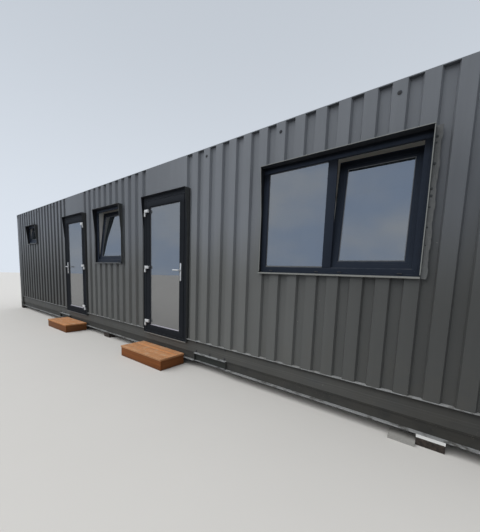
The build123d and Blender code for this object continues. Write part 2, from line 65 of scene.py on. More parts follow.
def limit(node, end, axis):
    """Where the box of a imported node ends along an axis, in metres."""
    return round(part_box(node)[end][axis], 5)


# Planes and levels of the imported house, in metres. The ribs stand out to CREST and fall back to RECESS. The
# fork pocket places are POCKET to each side of the middle, and the bottom rail has a seam at RAIL_SEAM.
CREST = limit("front_wall_left", LOW, Y)
RECESS = CREST + 0.036
RIB_PITCH = 0.2171
WALL_END = limit("front_wall_right", HIGH, X)
FRONT = limit("bottom_rail_front", LOW, Y)
BACK = limit("corner_castings", HIGH, Y)
BASE = limit("bottom_rail_front", LOW, Z)
RAIL_TOP = limit("bottom_rail_front", HIGH, Z)
RAIL_SEAM = BASE + 0.119
POCKET = 2.5
FLOOR = limit("floor_deck", HIGH, Z)
CEILING = limit("ceiling", LOW, Z)

# Casings: the hoods end at HEAD and HOOD_FRONT, and the cheeks slope outwards from CHEEK_BEND up to the hood
HEAD = limit("window_casings", HIGH, Z)
HOOD_FRONT = limit("window_casings", LOW, Y)
CHEEK_FRONT = CREST - 0.020
CHEEK_FOOT = 0.027
CHEEK_BEND = HEAD - 0.503

# Windows: left edge, right edge and sill of each casing
WINDOWS = {
    "big": (3.279, 4.830, 1.395),
    "middle": (-0.729, 0.277, 1.491),
    "small": (-5.040, -4.250, 2.025),
}
WINDOW_LIP = limit("window_frames", LOW, Y)
REBATE = limit("window_panes", LOW, Y)
FRAME_BACK = limit("window_frames", HIGH, Y)
FRAME_SIDE = 0.064
FRAME_FOOT = 0.079

# Sash openings between the frames' lips: left, right and bottom. All end at SASH_HEAD. In the big window a
# mullion stands between the sash and the fixed pane, whose opening is its left, right, bottom and top.
MULLION = (4.003, 4.091)
SASH_HEAD = HEAD - FRAME_SIDE
SASHES = {name: (x0 + FRAME_SIDE, x1 - FRAME_SIDE, sill + FRAME_FOOT)
          for name, (x0, x1, sill) in WINDOWS.items()}
FIXED_PANE = (SASHES["big"][0], MULLION[0], SASHES["big"][2], SASH_HEAD)
SASHES["big"] = (MULLION[1], *SASHES["big"][1:])

# A sash before it tilts: the planes of its face, pane and back, how far it reaches below its opening, and how
# much of its stiles, its foot and its head the opening shows
SASH_FACE = REBATE + 0.0003
SASH_PANE = REBATE + 0.0143
SASH_BACK = REBATE + 0.0663
SASH_DROP = 0.0237
SASH_STILE = 0.060
SASH_TOP_RAIL = 0.064
SASH_TILT = math.radians(6.5)

JOINTS = {joint["name"]: joint["pos_m"] for joint in frame["record"]["behaviour"]["joints"]}


def door_places(side, wall_before, wall_after, hinge_side):
    """One door: its casing's edges, its leaf's edges, its hinge axis, its spindle and its hinges' side.

    The casing fills the gap between two parts of the wall.
    """
    leaf = f"leaf_{side}_door"
    return {
        "casing": (limit(wall_before, HIGH, X), limit(wall_after, LOW, X)),
        "leaf": (limit(leaf, LOW, X), limit(leaf, HIGH, X)),
        "hinge": JOINTS[f"{side}_door_hinge"][X],
        "spindle": JOINTS[f"{side}_lever_turn"][X],
        "side": hinge_side,
    }


DOORS = {
    "right": door_places("right", "front_wall_middle", "front_wall_right", -1),
    "left": door_places("left", "front_wall_left", "front_wall_middle", 1),
}

# Leaves: their planes and levels, the widths of stiles and foot rail, the pane's two faces, the hinges' axis
# and levels, the level of the handles' spindles, and the depth of their back plates
DOOR_FACE = limit("leaf_right_door", LOW, Y)
LEAF_BACK = limit("leaf_right_door", HIGH, Y)
LEAF_FOOT = limit("leaf_right_door", LOW, Z)
LEAF_HEAD = limit("leaf_right_door", HIGH, Z)
LEAF_STILE = 0.104
LEAF_RAIL = 0.100
DOOR_PANE = limit("pane_right_door", LOW, Y)
DOOR_PANE_BACK = limit("pane_right_door", HIGH, Y)
HINGE_Y = JOINTS["right_door_hinge"][Y]
HINGE_LEVELS = (0.512, 1.407, 2.302)
SPINDLE_Z = JOINTS["right_lever_turn"][Z]
PLATE_DEPTH = 0.009

# Steps: their edges, the width of each, and the thickness of their boards
STEP_LEFT = limit("step_decks", LOW, X)
STEP_RIGHT = limit("step_decks", HIGH, X)
STEP_FRONT = limit("step_decks", LOW, Y)
STEP_TOP = limit("step_decks", HIGH, Z)
STEP_WIDTH = 1.040
STEP_BOARD = 0.026
STEPS = ((STEP_RIGHT - STEP_WIDTH, STEP_RIGHT), (STEP_LEFT, STEP_LEFT + STEP_WIDTH))


# Sizes and colours that a user would change

def length(name, description, default):
    """A length property in metres."""
    return bpy.props.FloatProperty(name=name, description=description, default=default, min=0.0,
                                   unit="LENGTH")


def colour(name, description, default):
    """A colour property, in scene linear values."""
    return bpy.props.FloatVectorProperty(name=name, description=description, default=default, size=3, min=0.0,
                                         max=1.0, subtype="COLOR")


class HouseSizes(bpy.types.PropertyGroup):
    """Sizes of the small fittings."""
    edge_lip: length("Casing lip", "Height of the folded lip on a window casing's edge", 0.006)
    gasket: length("Gasket width", "Width of the rubber gasket round each pane", 0.006)
    bead: length("Glazing bead", "Height of the bead under a pane", 0.012)
    vent: length("Vent radius", "Radius of the small vent plugs under the roof edge", 0.017)
    filler: length("Filler width", "Width of the filled strip beside the big window", 0.044)
    board_gap: length("Board gap", "Gap between the boards of a step", 0.004)
    grip: length("Handle radius", "Radius of a door handle's grip", 0.0110)


class HouseColours(bpy.types.PropertyGroup):
    """Main colours of the finishes."""
    wall: colour("Wall paint", "Satin paint of the steel box", (0.147, 0.150, 0.153))
    casing: colour("Casing paint", "Powder coat of the casings and hoods", (0.015, 0.0165, 0.0195))
    joinery: colour("Window paint", "Powder coat of the window frames", (0.0180, 0.0240, 0.0365))
    doors: colour("Door paint", "Powder coat of the doors and their frames", (0.0185, 0.0208, 0.0250))
    deck: colour("Deck boards", "Stained boards on top of the steps", (0.56, 0.285, 0.140))
    skirt: colour("Skirt boards", "Stained boards round the steps", (0.225, 0.088, 0.032))
    floor: colour("Studio floor", "Plain pale floor under the house", (0.62, 0.605, 0.58))
    backdrop: colour("Studio backdrop", "Plain pale background", (0.72, 0.78, 0.86))


# Shapes: grids of points, worked out as whole arrays

GRAIN_STEP = np.array([3.7, 1.3, 2.1])


def other_axes(along):
    """The two axes across one axis."""
    return [axis for axis in (X, Y, Z) if axis != along]


class Skin:
    """Gathers grids of points into one mesh."""

    def __init__(self):
        self.points = []
        self.grain = []
        self.faces = []
        self.count = 0

    def add(self, *grids, loop=False, along=X):
        """Adds grids of rows by columns, each row closed on itself.

        loop closes the last row on the first. Without it both end rows get a face. Each point also keeps its
        place with the axis along first, moved on by a step for each grid, so that the grain of two boards
        never matches.
        """
        for grid in grids:
            rows, columns = grid.shape[:2]
            index = self.count + np.arange(rows * columns).reshape(rows, columns)
            wrapped = np.hstack([index, index[:, :1]])
            if loop:
                wrapped = np.vstack([wrapped, wrapped[:1]])
            this, following = wrapped[:-1], wrapped[1:]
            quads = np.stack([this[:, :-1], this[:, 1:], following[:, 1:], following[:, :-1]], axis=-1)
            self.faces.extend(quads.reshape(-1, 4).tolist())
            if not loop:
                self.faces.extend([index[0][::-1].tolist(), index[-1].tolist()])
            flat = grid.reshape(-1, 3)
            self.points.append(flat)
            self.grain.append(flat[:, [along, *other_axes(along)]] + GRAIN_STEP * len(self.points))
            self.count += rows * columns
        return self

    def piece(self, name, body, slot, finish, sharp=35.0):
        """Puts the grids into one object of a named finish that rides on a body."""
        mesh = bpy.data.meshes.new(name)
        mesh.from_pydata(np.concatenate(self.points).tolist(), [], self.faces)
        shell = bmesh.new()
        shell.from_mesh(mesh)
        bmesh.ops.recalc_face_normals(shell, faces=shell.faces)
        shell.to_mesh(mesh)
        shell.free()
        grain = mesh.attributes.new("grain", "FLOAT_VECTOR", "POINT")
        grain.data.foreach_set("vector", np.concatenate(self.grain).astype(np.float32).ravel())
        mesh.polygons.foreach_set("use_smooth", np.ones(len(mesh.polygons), bool))
        mesh.set_sharp_from_angle(angle=math.radians(sharp))
        mesh.materials.append(FINISHES[finish])
        made = bpy.data.objects.new(name, mesh)
        bpy.context.scene.collection.objects.link(made)
        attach(made, body)
        return made


def bar(low, high, along, radius):
    """A bar with rounded edges.

    A point of the ring is a corner's centre plus radius times shrink times (cos a, sin a). The ring is
    carried along the bar, and shrink falls from 1 to the sine of 30 degrees over the rounded ends.
    """
    low = np.array(low, float)
    high = np.array(high, float)
    across = other_axes(along)
    middle = (low + high) / 2
    half = (high - low) / 2
    angle = np.radians(np.add.outer(np.arange(4) * 90, [0, 45, 90])).ravel()
    corner = np.repeat([[1, 1], [-1, 1], [-1, -1], [1, -1]], 3, axis=0)
    direction = np.stack([np.cos(angle), np.sin(angle)], axis=1)
    rise = np.radians([30, 60, 90])
    shrink = np.concatenate([np.sin(rise), np.sin(rise)[::-1]])
    inset = radius * (1 - np.cos(rise))
    place = np.concatenate([low[along] + inset, high[along] - inset[::-1]])
    ring = middle[across] + corner * (half[across] - radius) + radius * shrink[:, None, None] * direction
    grid = np.empty(ring.shape[:2] + (3,))
    grid[..., along] = place[:, None]
    grid[..., across] = ring
    return grid


def carried(profile, start, end):
    """A profile of pairs (y, z), carried straight from start to end along X."""
    grid = np.empty((2, len(profile), 3))
    grid[..., X] = np.array([start, end])[:, None]
    grid[..., [Y, Z]] = profile
    return grid


def frame_loop(x0, x1, z0, z1, profile, widths=(0.0,) * 4):
    """A mitred frame round a rectangle.

    The profile holds (share, outwards, y). Each corner of the rectangle moves out, along both axes, by share
    times the width of that side plus outwards. widths are those of the left, right, lower and upper side.
    """
    profile = np.array(profile, float)
    left, right, lower, upper = widths
    corner = np.array([[x0, z0], [x1, z0], [x1, z1], [x0, z1]])
    way = np.array([[-1, -1], [1, -1], [1, 1], [-1, 1]])
    wide = np.array([[left, lower], [right, lower], [right, upper], [left, upper]])
    move = profile[:, :1] * wide[:, None] + profile[:, 1:2]
    grid = np.empty((4, len(profile), 3))
    grid[..., [X, Z]] = corner[:, None] + way[:, None] * move
    grid[..., Y] = profile[:, 2]
    return grid


def mitred_sides(loop, gap=0.0004):
    """The four sides of a frame as bars of their own, each from one corner's ring to the next, less a gap."""
    sides = []
    for number in range(4):
        ends = np.stack([loop[number], loop[(number + 1) % 4]])
        way = np.sign(np.round(ends[1].mean(axis=0) - ends[0].mean(axis=0), 6)) * [1, 0, 1]
        sides.append(ends + np.array([[way], [-way]]) * gap / 2)
    return sides


def turned(profile, centre, axis, sides):
    """A round piece: pairs (radius, distance) turned about an axis through centre.

    A point is centre plus distance along the axis plus radius times (cos a, sin a) in the other two axes.
    """
    profile = np.array(profile, float)
    angle = np.linspace(0, 2 * math.pi, sides, endpoint=False)
    grid = np.empty((len(profile), sides, 3))
    grid[..., axis] = centre[axis] + profile[:, 1:]
    for other, round_part in zip(other_axes(axis), (np.cos(angle), np.sin(angle))):
        grid[..., other] = centre[other] + profile[:, :1] * round_part
    return grid


def tube(path, radius, sides=14):
    """A round bar carried along a path of points, with a radius at each.

    The ring's axes are the path's direction crossed with Z, and that crossed with the direction.
    """
    way = np.gradient(path, axis=0)
    way /= np.linalg.norm(way, axis=1, keepdims=True)
    side = np.cross(way, [0, 0, 1])
    side /= np.linalg.norm(side, axis=1, keepdims=True)
    over = np.cross(side, way)
    angle = np.linspace(0, 2 * math.pi, sides, endpoint=False)
    ring = np.cos(angle)[:, None] * side[:, None] + np.sin(angle)[:, None] * over[:, None]
    return path[:, None] + radius[:, None, None] * ring


def tilted(grid, sill):
    """The grid turned with a sash: about the line along X through the sash's lower edge on the room side."""
    y, z = SASH_BACK, sill - SASH_DROP
    out = grid.copy()
    dy, dz = grid[..., Y] - y, grid[..., Z] - z
    out[..., Y] = y + dy * math.cos(SASH_TILT) + dz * math.sin(SASH_TILT)
    out[..., Z] = z - dy * math.sin(SASH_TILT) + dz * math.cos(SASH_TILT)
    return out


def frame_sides(opening, profile, widths, sill=None):
    """The mitred sides of a frame round an opening, turned with its sash where a sill is given."""
    sides = mitred_sides(frame_loop(*opening, profile, widths))
    return sides if sill is None else [tilted(side, sill) for side in sides]


# Finishes

class Wire:
    """One output socket. Sums and products of wires and numbers add Math nodes."""

    def __init__(self, finish, socket):
        self.finish = finish
        self.socket = socket

    def maths(self, operation, first, second):
        """A Math node on two values."""
        return self.finish.node("ShaderNodeMath", {"operation": operation}, {0: first, 1: second})

    def __add__(self, other):
        return self.maths("ADD", self, other)

    def __radd__(self, other):
        return self.maths("ADD", other, self)

    def __sub__(self, other):
        return self.maths("SUBTRACT", self, other)

    def __rsub__(self, other):
        return self.maths("SUBTRACT", other, self)

    def __mul__(self, other):
        return self.maths("MULTIPLY", self, other)

    def __rmul__(self, other):
        return self.maths("MULTIPLY", other, self)

    def __abs__(self):
        return self.maths("ABSOLUTE", self, 0.0)


class Finish:
    """A material, or the studio's world, and the short ways to add nodes to it."""

    def __init__(self, name, owner=None):
        self.material = owner or bpy.data.materials.new(name)
        self.material.use_nodes = True
        self.tree = self.material.node_tree
        self.tree.nodes.clear()

    def node(self, kind, settings=None, sockets=None, output=0):
        """Any node: its settings are set first, then the values or links of its sockets."""
        made = self.tree.nodes.new(kind)
        for name, value in (settings or {}).items():
            setattr(made, name, value)
        for name, value in (sockets or {}).items():
            if isinstance(value, Wire):
                self.tree.links.new(value.socket, made.inputs[name])
            else:
                made.inputs[name].default_value = value
        return None if output is None else Wire(self, made.outputs[output])

    def place(self, scale=(1.0, 1.0, 1.0), attribute=None):
        """Object coordinates, or a vector attribute of the piece, scaled along each axis."""
        if attribute:
            source = self.node("ShaderNodeAttribute", {"attribute_name": attribute}, output=1)
        else:
            source = self.node("ShaderNodeTexCoord", output=3)
        return self.node("ShaderNodeMapping", sockets={"Vector": source, "Scale": scale})

    def part(self, vector, axis):
        """One part of a vector: along the house, across it or upwards."""
        return self.node("ShaderNodeSeparateXYZ", sockets={0: vector}, output=axis)

    def coordinate(self, axis):
        """The place along one axis."""
        return self.part(self.node("ShaderNodeTexCoord", output=3), axis)

    def height(self):
        """Height above the ground."""
        return self.coordinate(Z)

    def facing(self, axis):
        """How far the face looks along one axis: from -1 to 1."""
        return self.part(self.node("ShaderNodeNewGeometry", output=1), axis)

    def joints(self, spacing, start, end):
        """1 at the joints between boards that are laid along the house, 0 beyond end metres from a joint."""
        away = self.node("ShaderNodeMath", {"operation": "PINGPONG"}, {0: self.coordinate(X), 1: spacing / 2})
        return 1.0 - self.ramp(away, start, end)

    def line(self, value, middle, half):
        """1 close to the middle value and 0 away from it: it falls at a distance of half."""
        return 1.0 - self.ramp(abs(value - middle), 0.5 * half, 1.5 * half)

    def noise(self, place, scale, detail=3.0, rough=0.55):
        """Soft noise, about 0.5."""
        return self.node("ShaderNodeTexNoise", sockets={"Vector": place, "Scale": scale, "Detail": detail,
                                                        "Roughness": rough})

    def drawn(self, scales, detail, rough=0.55, attribute=None):
        """Soft noise, drawn out or packed along each axis by its own scale."""
        return self.noise(self.place(scales, attribute), 1.0, detail, rough)

    def spots(self, place, scale, size):
        """1 in small round spots, one to a cell, and 0 between."""
        far = self.node("ShaderNodeTexVoronoi", sockets={"Vector": place, "Scale": scale})
        return self.ramp(far, size, size * 0.6)

    def ramp(self, value, start, end):
        """The value mapped from start to end onto 0 to 1, eased at both ends."""
        return self.node("ShaderNodeMapRange", {"interpolation_type": "SMOOTHSTEP"},
                         {"Value": value, "From Min": start, "From Max": end})

    def mix(self, share, first, second):
        """A colour between two colours."""
        return self.node("ShaderNodeMix", {"data_type": "RGBA"},
                         {0: share, 6: self.shade(first), 7: self.shade(second)}, output=2)

    def shade(self, value):
        """A colour with its alpha, or the wire as it is."""
        return value if isinstance(value, Wire) else (*tuple(value)[:3], 1.0)

    def bright(self, tint, level):
        """A colour made brighter or darker by a level about 1."""
        if not isinstance(tint, Wire):
            tint = tuple(tint)[:3]
        return self.node("ShaderNodeVectorMath", {"operation": "SCALE"}, {0: tint, "Scale": level})

    def facing_up(self):
        """1 on faces that look up, 0 on upright ones."""
        return self.ramp(self.facing(Z), 0.3, 0.9)

    def facing_down(self):
        """1 on faces that look down, 0 on upright ones."""
        return self.ramp(self.facing(Z), -0.3, -0.9)

    def slanting(self):
        """1 on upright faces turned between the long side and the ends, such as the flanks of the ribs."""
        x, y = self.facing(X), self.facing(Y)
        return self.ramp(x * x * (y * y), 0.02, 0.11)

    def edges(self, radius):
        """1 along sharp edges: where the normal of a rounded edge leaves the face's own."""
        rounded = self.node("ShaderNodeBevel", {"samples": 4}, {"Radius": radius})
        normal = self.node("ShaderNodeNewGeometry", output=1)
        likeness = self.node("ShaderNodeVectorMath", {"operation": "DOT_PRODUCT"}, {0: rounded, 1: normal},
                             output=1)
        return self.ramp(1.0 - likeness, 0.02, 0.25)

    def bump(self, height, depth, under=None):
        """A normal from a height whose unit is worth depth metres."""
        sockets = {"Height": height, "Distance": depth, "Strength": 1.0}
        if under:
            sockets["Normal"] = under
        return self.node("ShaderNodeBump", sockets=sockets)

    def close(self, **sockets):
        """The surface itself. Underscores in names stand for spaces."""
        names = {name.replace("_", " "): value for name, value in sockets.items()}
        names["Base Color"] = self.shade(names["Base Color"])
        surface = self.node("ShaderNodeBsdfPrincipled", sockets=names)
        self.node("ShaderNodeOutputMaterial", sockets={"Surface": surface}, output=None)
        return self.material

    def seen(self):
        """1 for rays from the camera, a mirror or glass, and 0 for those that carry light."""
        path = [self.node("ShaderNodeLightPath", output=name)
                for name in ("Is Camera Ray", "Is Glossy Ray", "Is Transmission Ray")]
        return path[0].maths("MAXIMUM", path[0].maths("MAXIMUM", path[0], path[1]), path[2])


def toned(tint, *shares):
    """A colour with each part times its own share, or all three times one share."""
    return [share * value for share, value in zip(shares if len(shares) == 3 else shares * 3, tint)]


def wall_parts(f, along):
    """0 to 1 each: towards the wall's right end, from its middle leftwards, and towards its left end."""
    return f.ramp(along, 2.8, 5.2), f.ramp(along, 2.2, 0.6), f.ramp(along, -0.5, -3.0)


def wall_painted_light(f, height, rise, right, middle, left):
    """The wall's painted light: a paler painted sky reflection in its upper part, and painted shade towards
    both ends and the foot.
    """
    lower = 0.92 * (1.0 - 0.53 * right) * (1.0 - 0.20 * middle) * (1.0 - 0.42 * left)
    upper = 1.27 * (1.0 - (0.46 - 0.30 * f.ramp(height, 2.0, 2.9)) * right) * (1.0 - 0.23 * middle)
    return lower + (upper * (1.0 + 0.06 * left) - lower) * rise


def below_seam(f, height):
    """1 on the bottom rail below its seam, and 0 above it."""
    return 1.0 - f.ramp(height, RAIL_SEAM - 0.002, RAIL_SEAM + 0.002)


def rail_level(f, along, height):
    """How bright the bottom rail is: scraped along its length, with a painted shadow under its top flange, a
    painted shadow line at its seam, and painted shade below its seam and towards its right end.
    """
    scrape = f.drawn((0.8, 2.0, 42.0), 4.0, 0.6)
    under_top = 1.0 - f.ramp(height, RAIL_TOP - 0.010, RAIL_TOP - 0.005)
    # Painted shadow under the top flange
    flange_shadow = f.ramp(height, RAIL_TOP - 0.060, RAIL_TOP - 0.024) * under_top
    wander = height + 0.030 * f.drawn((1.4, 1.4, 0.0), 3.0)
    streaks = f.line(wander, RAIL_TOP - 0.080, 0.0035) + f.line(wander, RAIL_TOP - 0.105, 0.0025)
    seam = f.line(height, RAIL_SEAM, 0.004)
    # Painted shade towards the right end and below the seam, and a painted shadow line along the seam
    level = (0.335 - 0.13 * f.ramp(along, 4.0, 5.2)) * (1.10 + 0.60 * scrape) * (1.0 - 0.45 * flange_shadow)
    return level * (1.0 - 0.50 * below_seam(f, height)) * (1.0 - 0.5 * seam) * (1.0 + 0.30 * streaks)


def rail_marks(f, along, height, paint):
    """Painted shade in the fork pocket places below the seam, and broken pale lines: painted highlights along
    the rail's top and bottom edges and on the pockets' ledges, broken where worn.
    """
    pocket = f.ramp(abs(abs(along) - POCKET), 0.31, 0.29)
    # Painted shade in the fork pocket places below the seam
    shaded = f.mix(0.55 * pocket * below_seam(f, height), paint, (0.022, 0.028, 0.025))
    # Painted highlights along the top and bottom edges and on the pocket ledges, broken where worn
    rim_highlights = f.line(height, BASE + 0.005, 0.004) + f.line(height, RAIL_TOP - 0.002, 0.004)
    ledge = pocket * f.line(height, RAIL_SEAM + 0.002, 0.007)
    broken = f.ramp(f.noise(f.place((3.0, 3.0, 0.0)), 2.6, 5.0, 0.65), 0.34, 0.52)
    return f.mix(0.8 * (rim_highlights + ledge) * broken, shaded, (0.33, 0.34, 0.345))


def soiled(f, here, height, paint):
    """How dusty a place is, and the paint with that dust, splashes of mud near the ground and pale specks."""
    low = 1.0 - f.ramp(height, 0.15, 1.3)
    dust = f.ramp(f.noise(here, 5.0, 6.0, 0.65) + 0.35 * low, 0.55, 0.95) * low
    dusty = f.mix(0.20 * dust, paint, (0.13, 0.12, 0.10))
    splashed = 1.0 - f.ramp(height, 0.12, 0.45)
    mud = f.spots(here, 55.0, 0.22) * f.ramp(f.noise(here, 9.0), 0.5, 0.62) * splashed
    muddy = f.mix(0.40 * mud, dusty, (0.17, 0.15, 0.12))
    specks = f.spots(here, 9.0, 0.03) * f.ramp(f.noise(here, 2.3), 0.5, 0.6)
    return dust, f.mix(0.7 * specks, muddy, (0.55, 0.55, 0.52))


def wall_paint(name, tint, rail=False):
    """Satin paint on steel: rain streaks and worn edges, with painted shade towards the ground and the ends
    of the wall, a paler, bluer painted sky reflection higher up, and painted light and shade on the rib
    flanks.

    The bottom rails have their own level and marks, and more wear and pale dust on their upper ledge, which a
    painted highlight brightens too.
    """
    f = Finish(name)
    here = f.place()
    along = f.coordinate(X)
    height = f.height()
    right, middle, left = wall_parts(f, along)
    sheet = f.drawn((3.1, 3.1, 0.12), 2.0)
    # rise is the share of the painted sky reflection, paler and bluer, over the wall's upper part
    rise = f.ramp(height + (0.7 - 0.55 * left) * (sheet - 0.5), 1.2 - 0.25 * left, 2.15 + 0.45 * left)
    level = rail_level(f, along, height) if rail else wall_painted_light(f, height, rise, right, middle, left)
    cloud = f.noise(here, 0.9, 3.0)
    streak = f.drawn((7.0, 7.0, 0.45), 4.0, 0.6)
    fine = f.drawn((60.0, 60.0, 2.5), 2.0)
    level = level * (0.64 + 0.22 * cloud + 0.26 * sheet + 0.24 * streak + 0.08 * fine)
    # Painted light and shade on the rib flanks: brighter in the middle of the wall, darker towards its left
    # end
    level = level * (1.0 + (0.05 + 0.40 * middle - 0.70 * left) * f.slanting())
    level = level * (1.0 - 0.7 * f.line(abs(along), WALL_END - 0.028, 0.026))
    # The painted sky reflection turns the upper wall bluer
    paint = f.bright(f.mix(rise, toned(tint, 1.0, 1.010, 0.970), toned(tint, 0.96, 1.015, 1.10)), level)
    dust, dirty = soiled(f, here, height, paint)
    # On the rails' upper ledge, worn edges and settled dust are brighter: wear and a painted highlight
    ledge = f.ramp(height, RAIL_TOP - 0.097, RAIL_TOP - 0.007) if rail else 0.0
    edge = f.edges(0.004) * f.ramp(f.noise(here, 22.0, 4.0), 0.30 if rail else 0.42, 0.62)
    worn = f.mix((0.35 + 0.40 * ledge) * edge, dirty, f.bright((0.20, 0.205, 0.21), 1.0 + 1.2 * ledge))
    settled = f.facing_up() * f.ramp(f.noise(here, 18.0 if rail else 6.0, 5.0), 0.30, 0.62)
    top = f.mix((0.30 + 0.40 * ledge) * settled, worn, f.bright((0.24, 0.235, 0.22), 1.0 + 0.8 * ledge))
    if rail:
        top = rail_marks(f, along, height, top)
    dents = f.noise(f.place((1.0, 1.0, 5.5 if rail else 0.5)), 2.2, 2.0)
    normal = f.bump(f.noise(here, 380.0, 2.0), 0.0003, f.bump(dents, 0.004))
    return f.close(Base_Color=top, Roughness=0.46 + 0.16 * streak + 0.2 * dust, Normal=normal,
                   Specular_IOR_Level=0.22)


def hood_shade(f, height, lift):
    """The coat's painted light close under the hoods: painted light where lift is above 0, and the hood's
    painted shadow where it is below 0.

    Where it is darker, the middle of a frame's head keeps a paler band, free of the painted shadow.
    """
    near = f.ramp(height, HEAD - 0.193, HEAD - 0.083)
    if lift < 0.0:
        near = near * (1.0 - 1.4 * f.line(height, HEAD - 0.045, 0.016))
    return 1.0 + lift * near


def powder_coat(name, tint, gloss=0.09, lift=0.0):
    """Anthracite powder coat: a fine grain, faint wiping marks, dust on ledges and rubbed edges.

    lift is the painted light close under the hoods, and below 0 the hood's painted shadow. The front part of
    a hood's underside is paler: painted light.
    """
    f = Finish(name)
    here = f.place()
    height = f.height()
    cloud = f.noise(here, 1.7, 3.0)
    wipes = f.drawn((3.0, 3.0, 16.0), 5.0, 0.6)
    level = 0.75 + 0.3 * cloud + 0.25 * wipes
    # Painted light (lift above 0) and the hood's painted shadow (lift below 0) close under the hoods
    if lift:
        level = level * hood_shade(f, height, lift)
    # Painted light on the front part of each hood's underside
    before_wall = f.ramp(f.coordinate(Y), CREST + 0.018, CREST - 0.002)
    soffit_light = f.facing_down() * before_wall * f.ramp(height, HEAD - 0.153, HEAD - 0.053)
    coat = f.bright(tint, level * (1.0 + 2.5 * soffit_light))
    edge = f.edges(0.003) * f.ramp(f.noise(here, 30.0, 4.0), 0.35, 0.65)
    rubbed = f.mix(0.35 * edge, coat, (0.10, 0.11, 0.125))
    settled = f.facing_up() * f.ramp(f.noise(here, 11.0, 5.0), 0.3, 0.75)
    dusty = f.mix(0.4 * settled, rubbed, (0.12, 0.12, 0.125))
    normal = f.bump(f.noise(here, 700.0, 2.0), 0.0002, f.bump(f.noise(here, 60.0, 2.0), 0.0002))
    return f.close(Base_Color=dusty, Roughness=0.40 + 0.20 * wipes, Normal=normal, Specular_IOR_Level=gloss)


def window_glass():
    """Double glazing: a strong mirror over a dim room, with faint waves, a dusty film and dried drops."""
    f = Finish("window_glass")
    here = f.place()
    film = f.noise(f.place((1.0, 1.0, 0.35)), 9.0, 5.0, 0.65)
    drops = f.spots(here, 38.0, 0.12) * f.ramp(f.noise(here, 3.0), 0.5, 0.65)
    tint = f.mix(0.5 * film, (0.012, 0.017, 0.020), (0.034, 0.040, 0.042))
    marked = f.mix(0.25 * drops, tint, (0.20, 0.20, 0.19))
    rough = 0.015 + 0.05 * f.ramp(film, 0.45, 0.85) + 0.1 * drops
    alpha = 0.80 + 0.10 * film
    normal = f.bump(f.noise(f.place((1.0, 1.0, 0.7)), 1.6, 1.0), 0.0016)
    return f.close(Base_Color=marked, Roughness=rough, Alpha=alpha, IOR=3.4, Normal=normal)


def white_profile():
    """White plastic profile: a faint sheen, a slight haze, and grey dust on its ledges."""
    f = Finish("white_profile")
    here = f.place()
    haze = f.noise(here, 14.0, 5.0, 0.6)
    skin = f.bright((0.70, 0.70, 0.68), 0.90 + 0.16 * haze)
    dusty = f.mix(0.35 * f.facing_up() * f.ramp(haze, 0.35, 0.7), skin, (0.36, 0.34, 0.30))
    normal = f.bump(f.noise(here, 420.0, 2.0), 0.0001)
    return f.close(Base_Color=dusty, Roughness=0.30 + 0.15 * haze, Normal=normal)


def white_lining():
    """White faced board: faint mottling, board joints every 1.2 m, and scuffs near the floor."""
    f = Finish("white_lining")
    here = f.place()
    line = f.joints(1.2, 0.0015, 0.004)
    board = f.bright((0.74, 0.735, 0.71), 0.93 + 0.12 * f.noise(here, 2.0, 4.0))
    joined = f.mix(0.5 * line, board, (0.30, 0.30, 0.29))
    low = 1.0 - f.ramp(f.height(), FLOOR + 0.019, 0.8)
    scuff = low * f.ramp(f.noise(f.place((1.0, 1.0, 5.0)), 7.0, 5.0), 0.55, 0.8)
    scuffed = f.mix(0.4 * scuff, joined, (0.38, 0.36, 0.33))
    normal = f.bump(f.noise(here, 240.0, 2.0) - 2.0 * line, 0.0004)
    return f.close(Base_Color=scuffed, Roughness=0.42 + 0.12 * f.noise(here, 20.0), Normal=normal)


def floor_ply():
    """Varnished plywood sheets: long grain, sheet joints every 1.22 m and rubbed patches."""
    f = Finish("floor_ply")
    here = f.place()
    grain = f.drawn((1.2, 26.0, 26.0), 6.0, 0.6)
    fibre = f.drawn((8.0, 260.0, 260.0), 3.0)
    ply = f.mix(f.ramp(grain + 0.2 * fibre, 0.35, 0.85), (0.16, 0.095, 0.05), (0.36, 0.25, 0.15))
    line = f.joints(1.22, 0.001, 0.003)
    joined = f.mix(0.7 * line, ply, (0.04, 0.03, 0.02))
    rubbed = f.mix(0.3 * f.ramp(f.noise(here, 3.0, 5.0), 0.5, 0.8), joined, (0.30, 0.27, 0.23))
    normal = f.bump(fibre - 2.0 * line, 0.0004)
    return f.close(Base_Color=rubbed, Roughness=0.38 + 0.2 * grain, Normal=normal)


def under_paint():
    """Dark undercoat: mottled, with rust starting in places."""
    f = Finish("under_paint")
    here = f.place()
    coat = f.bright((0.045, 0.045, 0.047), 0.7 + 0.6 * f.noise(here, 4.0, 5.0))
    rust = f.ramp(f.noise(here, 13.0, 6.0, 0.7), 0.60, 0.74)
    rusted = f.mix(0.6 * rust, coat, (0.16, 0.065, 0.025))
    return f.close(Base_Color=rusted, Roughness=0.6 + 0.25 * rust,
                   Normal=f.bump(f.noise(here, 160.0, 4.0) + rust, 0.0006))


def plain_metal(name, tint, worn, metallic, rough):
    """A painted or bare metal part: brushed lines, smudges, and edges that wear to another shade."""
    f = Finish(name)
    here = f.place()
    brush = f.drawn((90.0, 90.0, 3.0), 3.0)
    smudge = f.noise(here, 24.0, 5.0, 0.6)
    skin = f.bright(tint, 0.86 + 0.14 * brush + 0.14 * smudge)
    edge = f.edges(0.0015) * f.ramp(f.noise(here, 70.0, 3.0), 0.4, 0.65)
    shown = f.mix(0.4 * edge, skin, worn)
    grime = f.ramp(smudge, 0.56, 0.78)
    grimy = f.mix(0.35 * grime, shown, (0.16, 0.15, 0.14))
    return f.close(Base_Color=grimy, Roughness=rough + 0.18 * smudge, Metallic=metallic,
                   Normal=f.bump(brush + smudge, 0.00015))


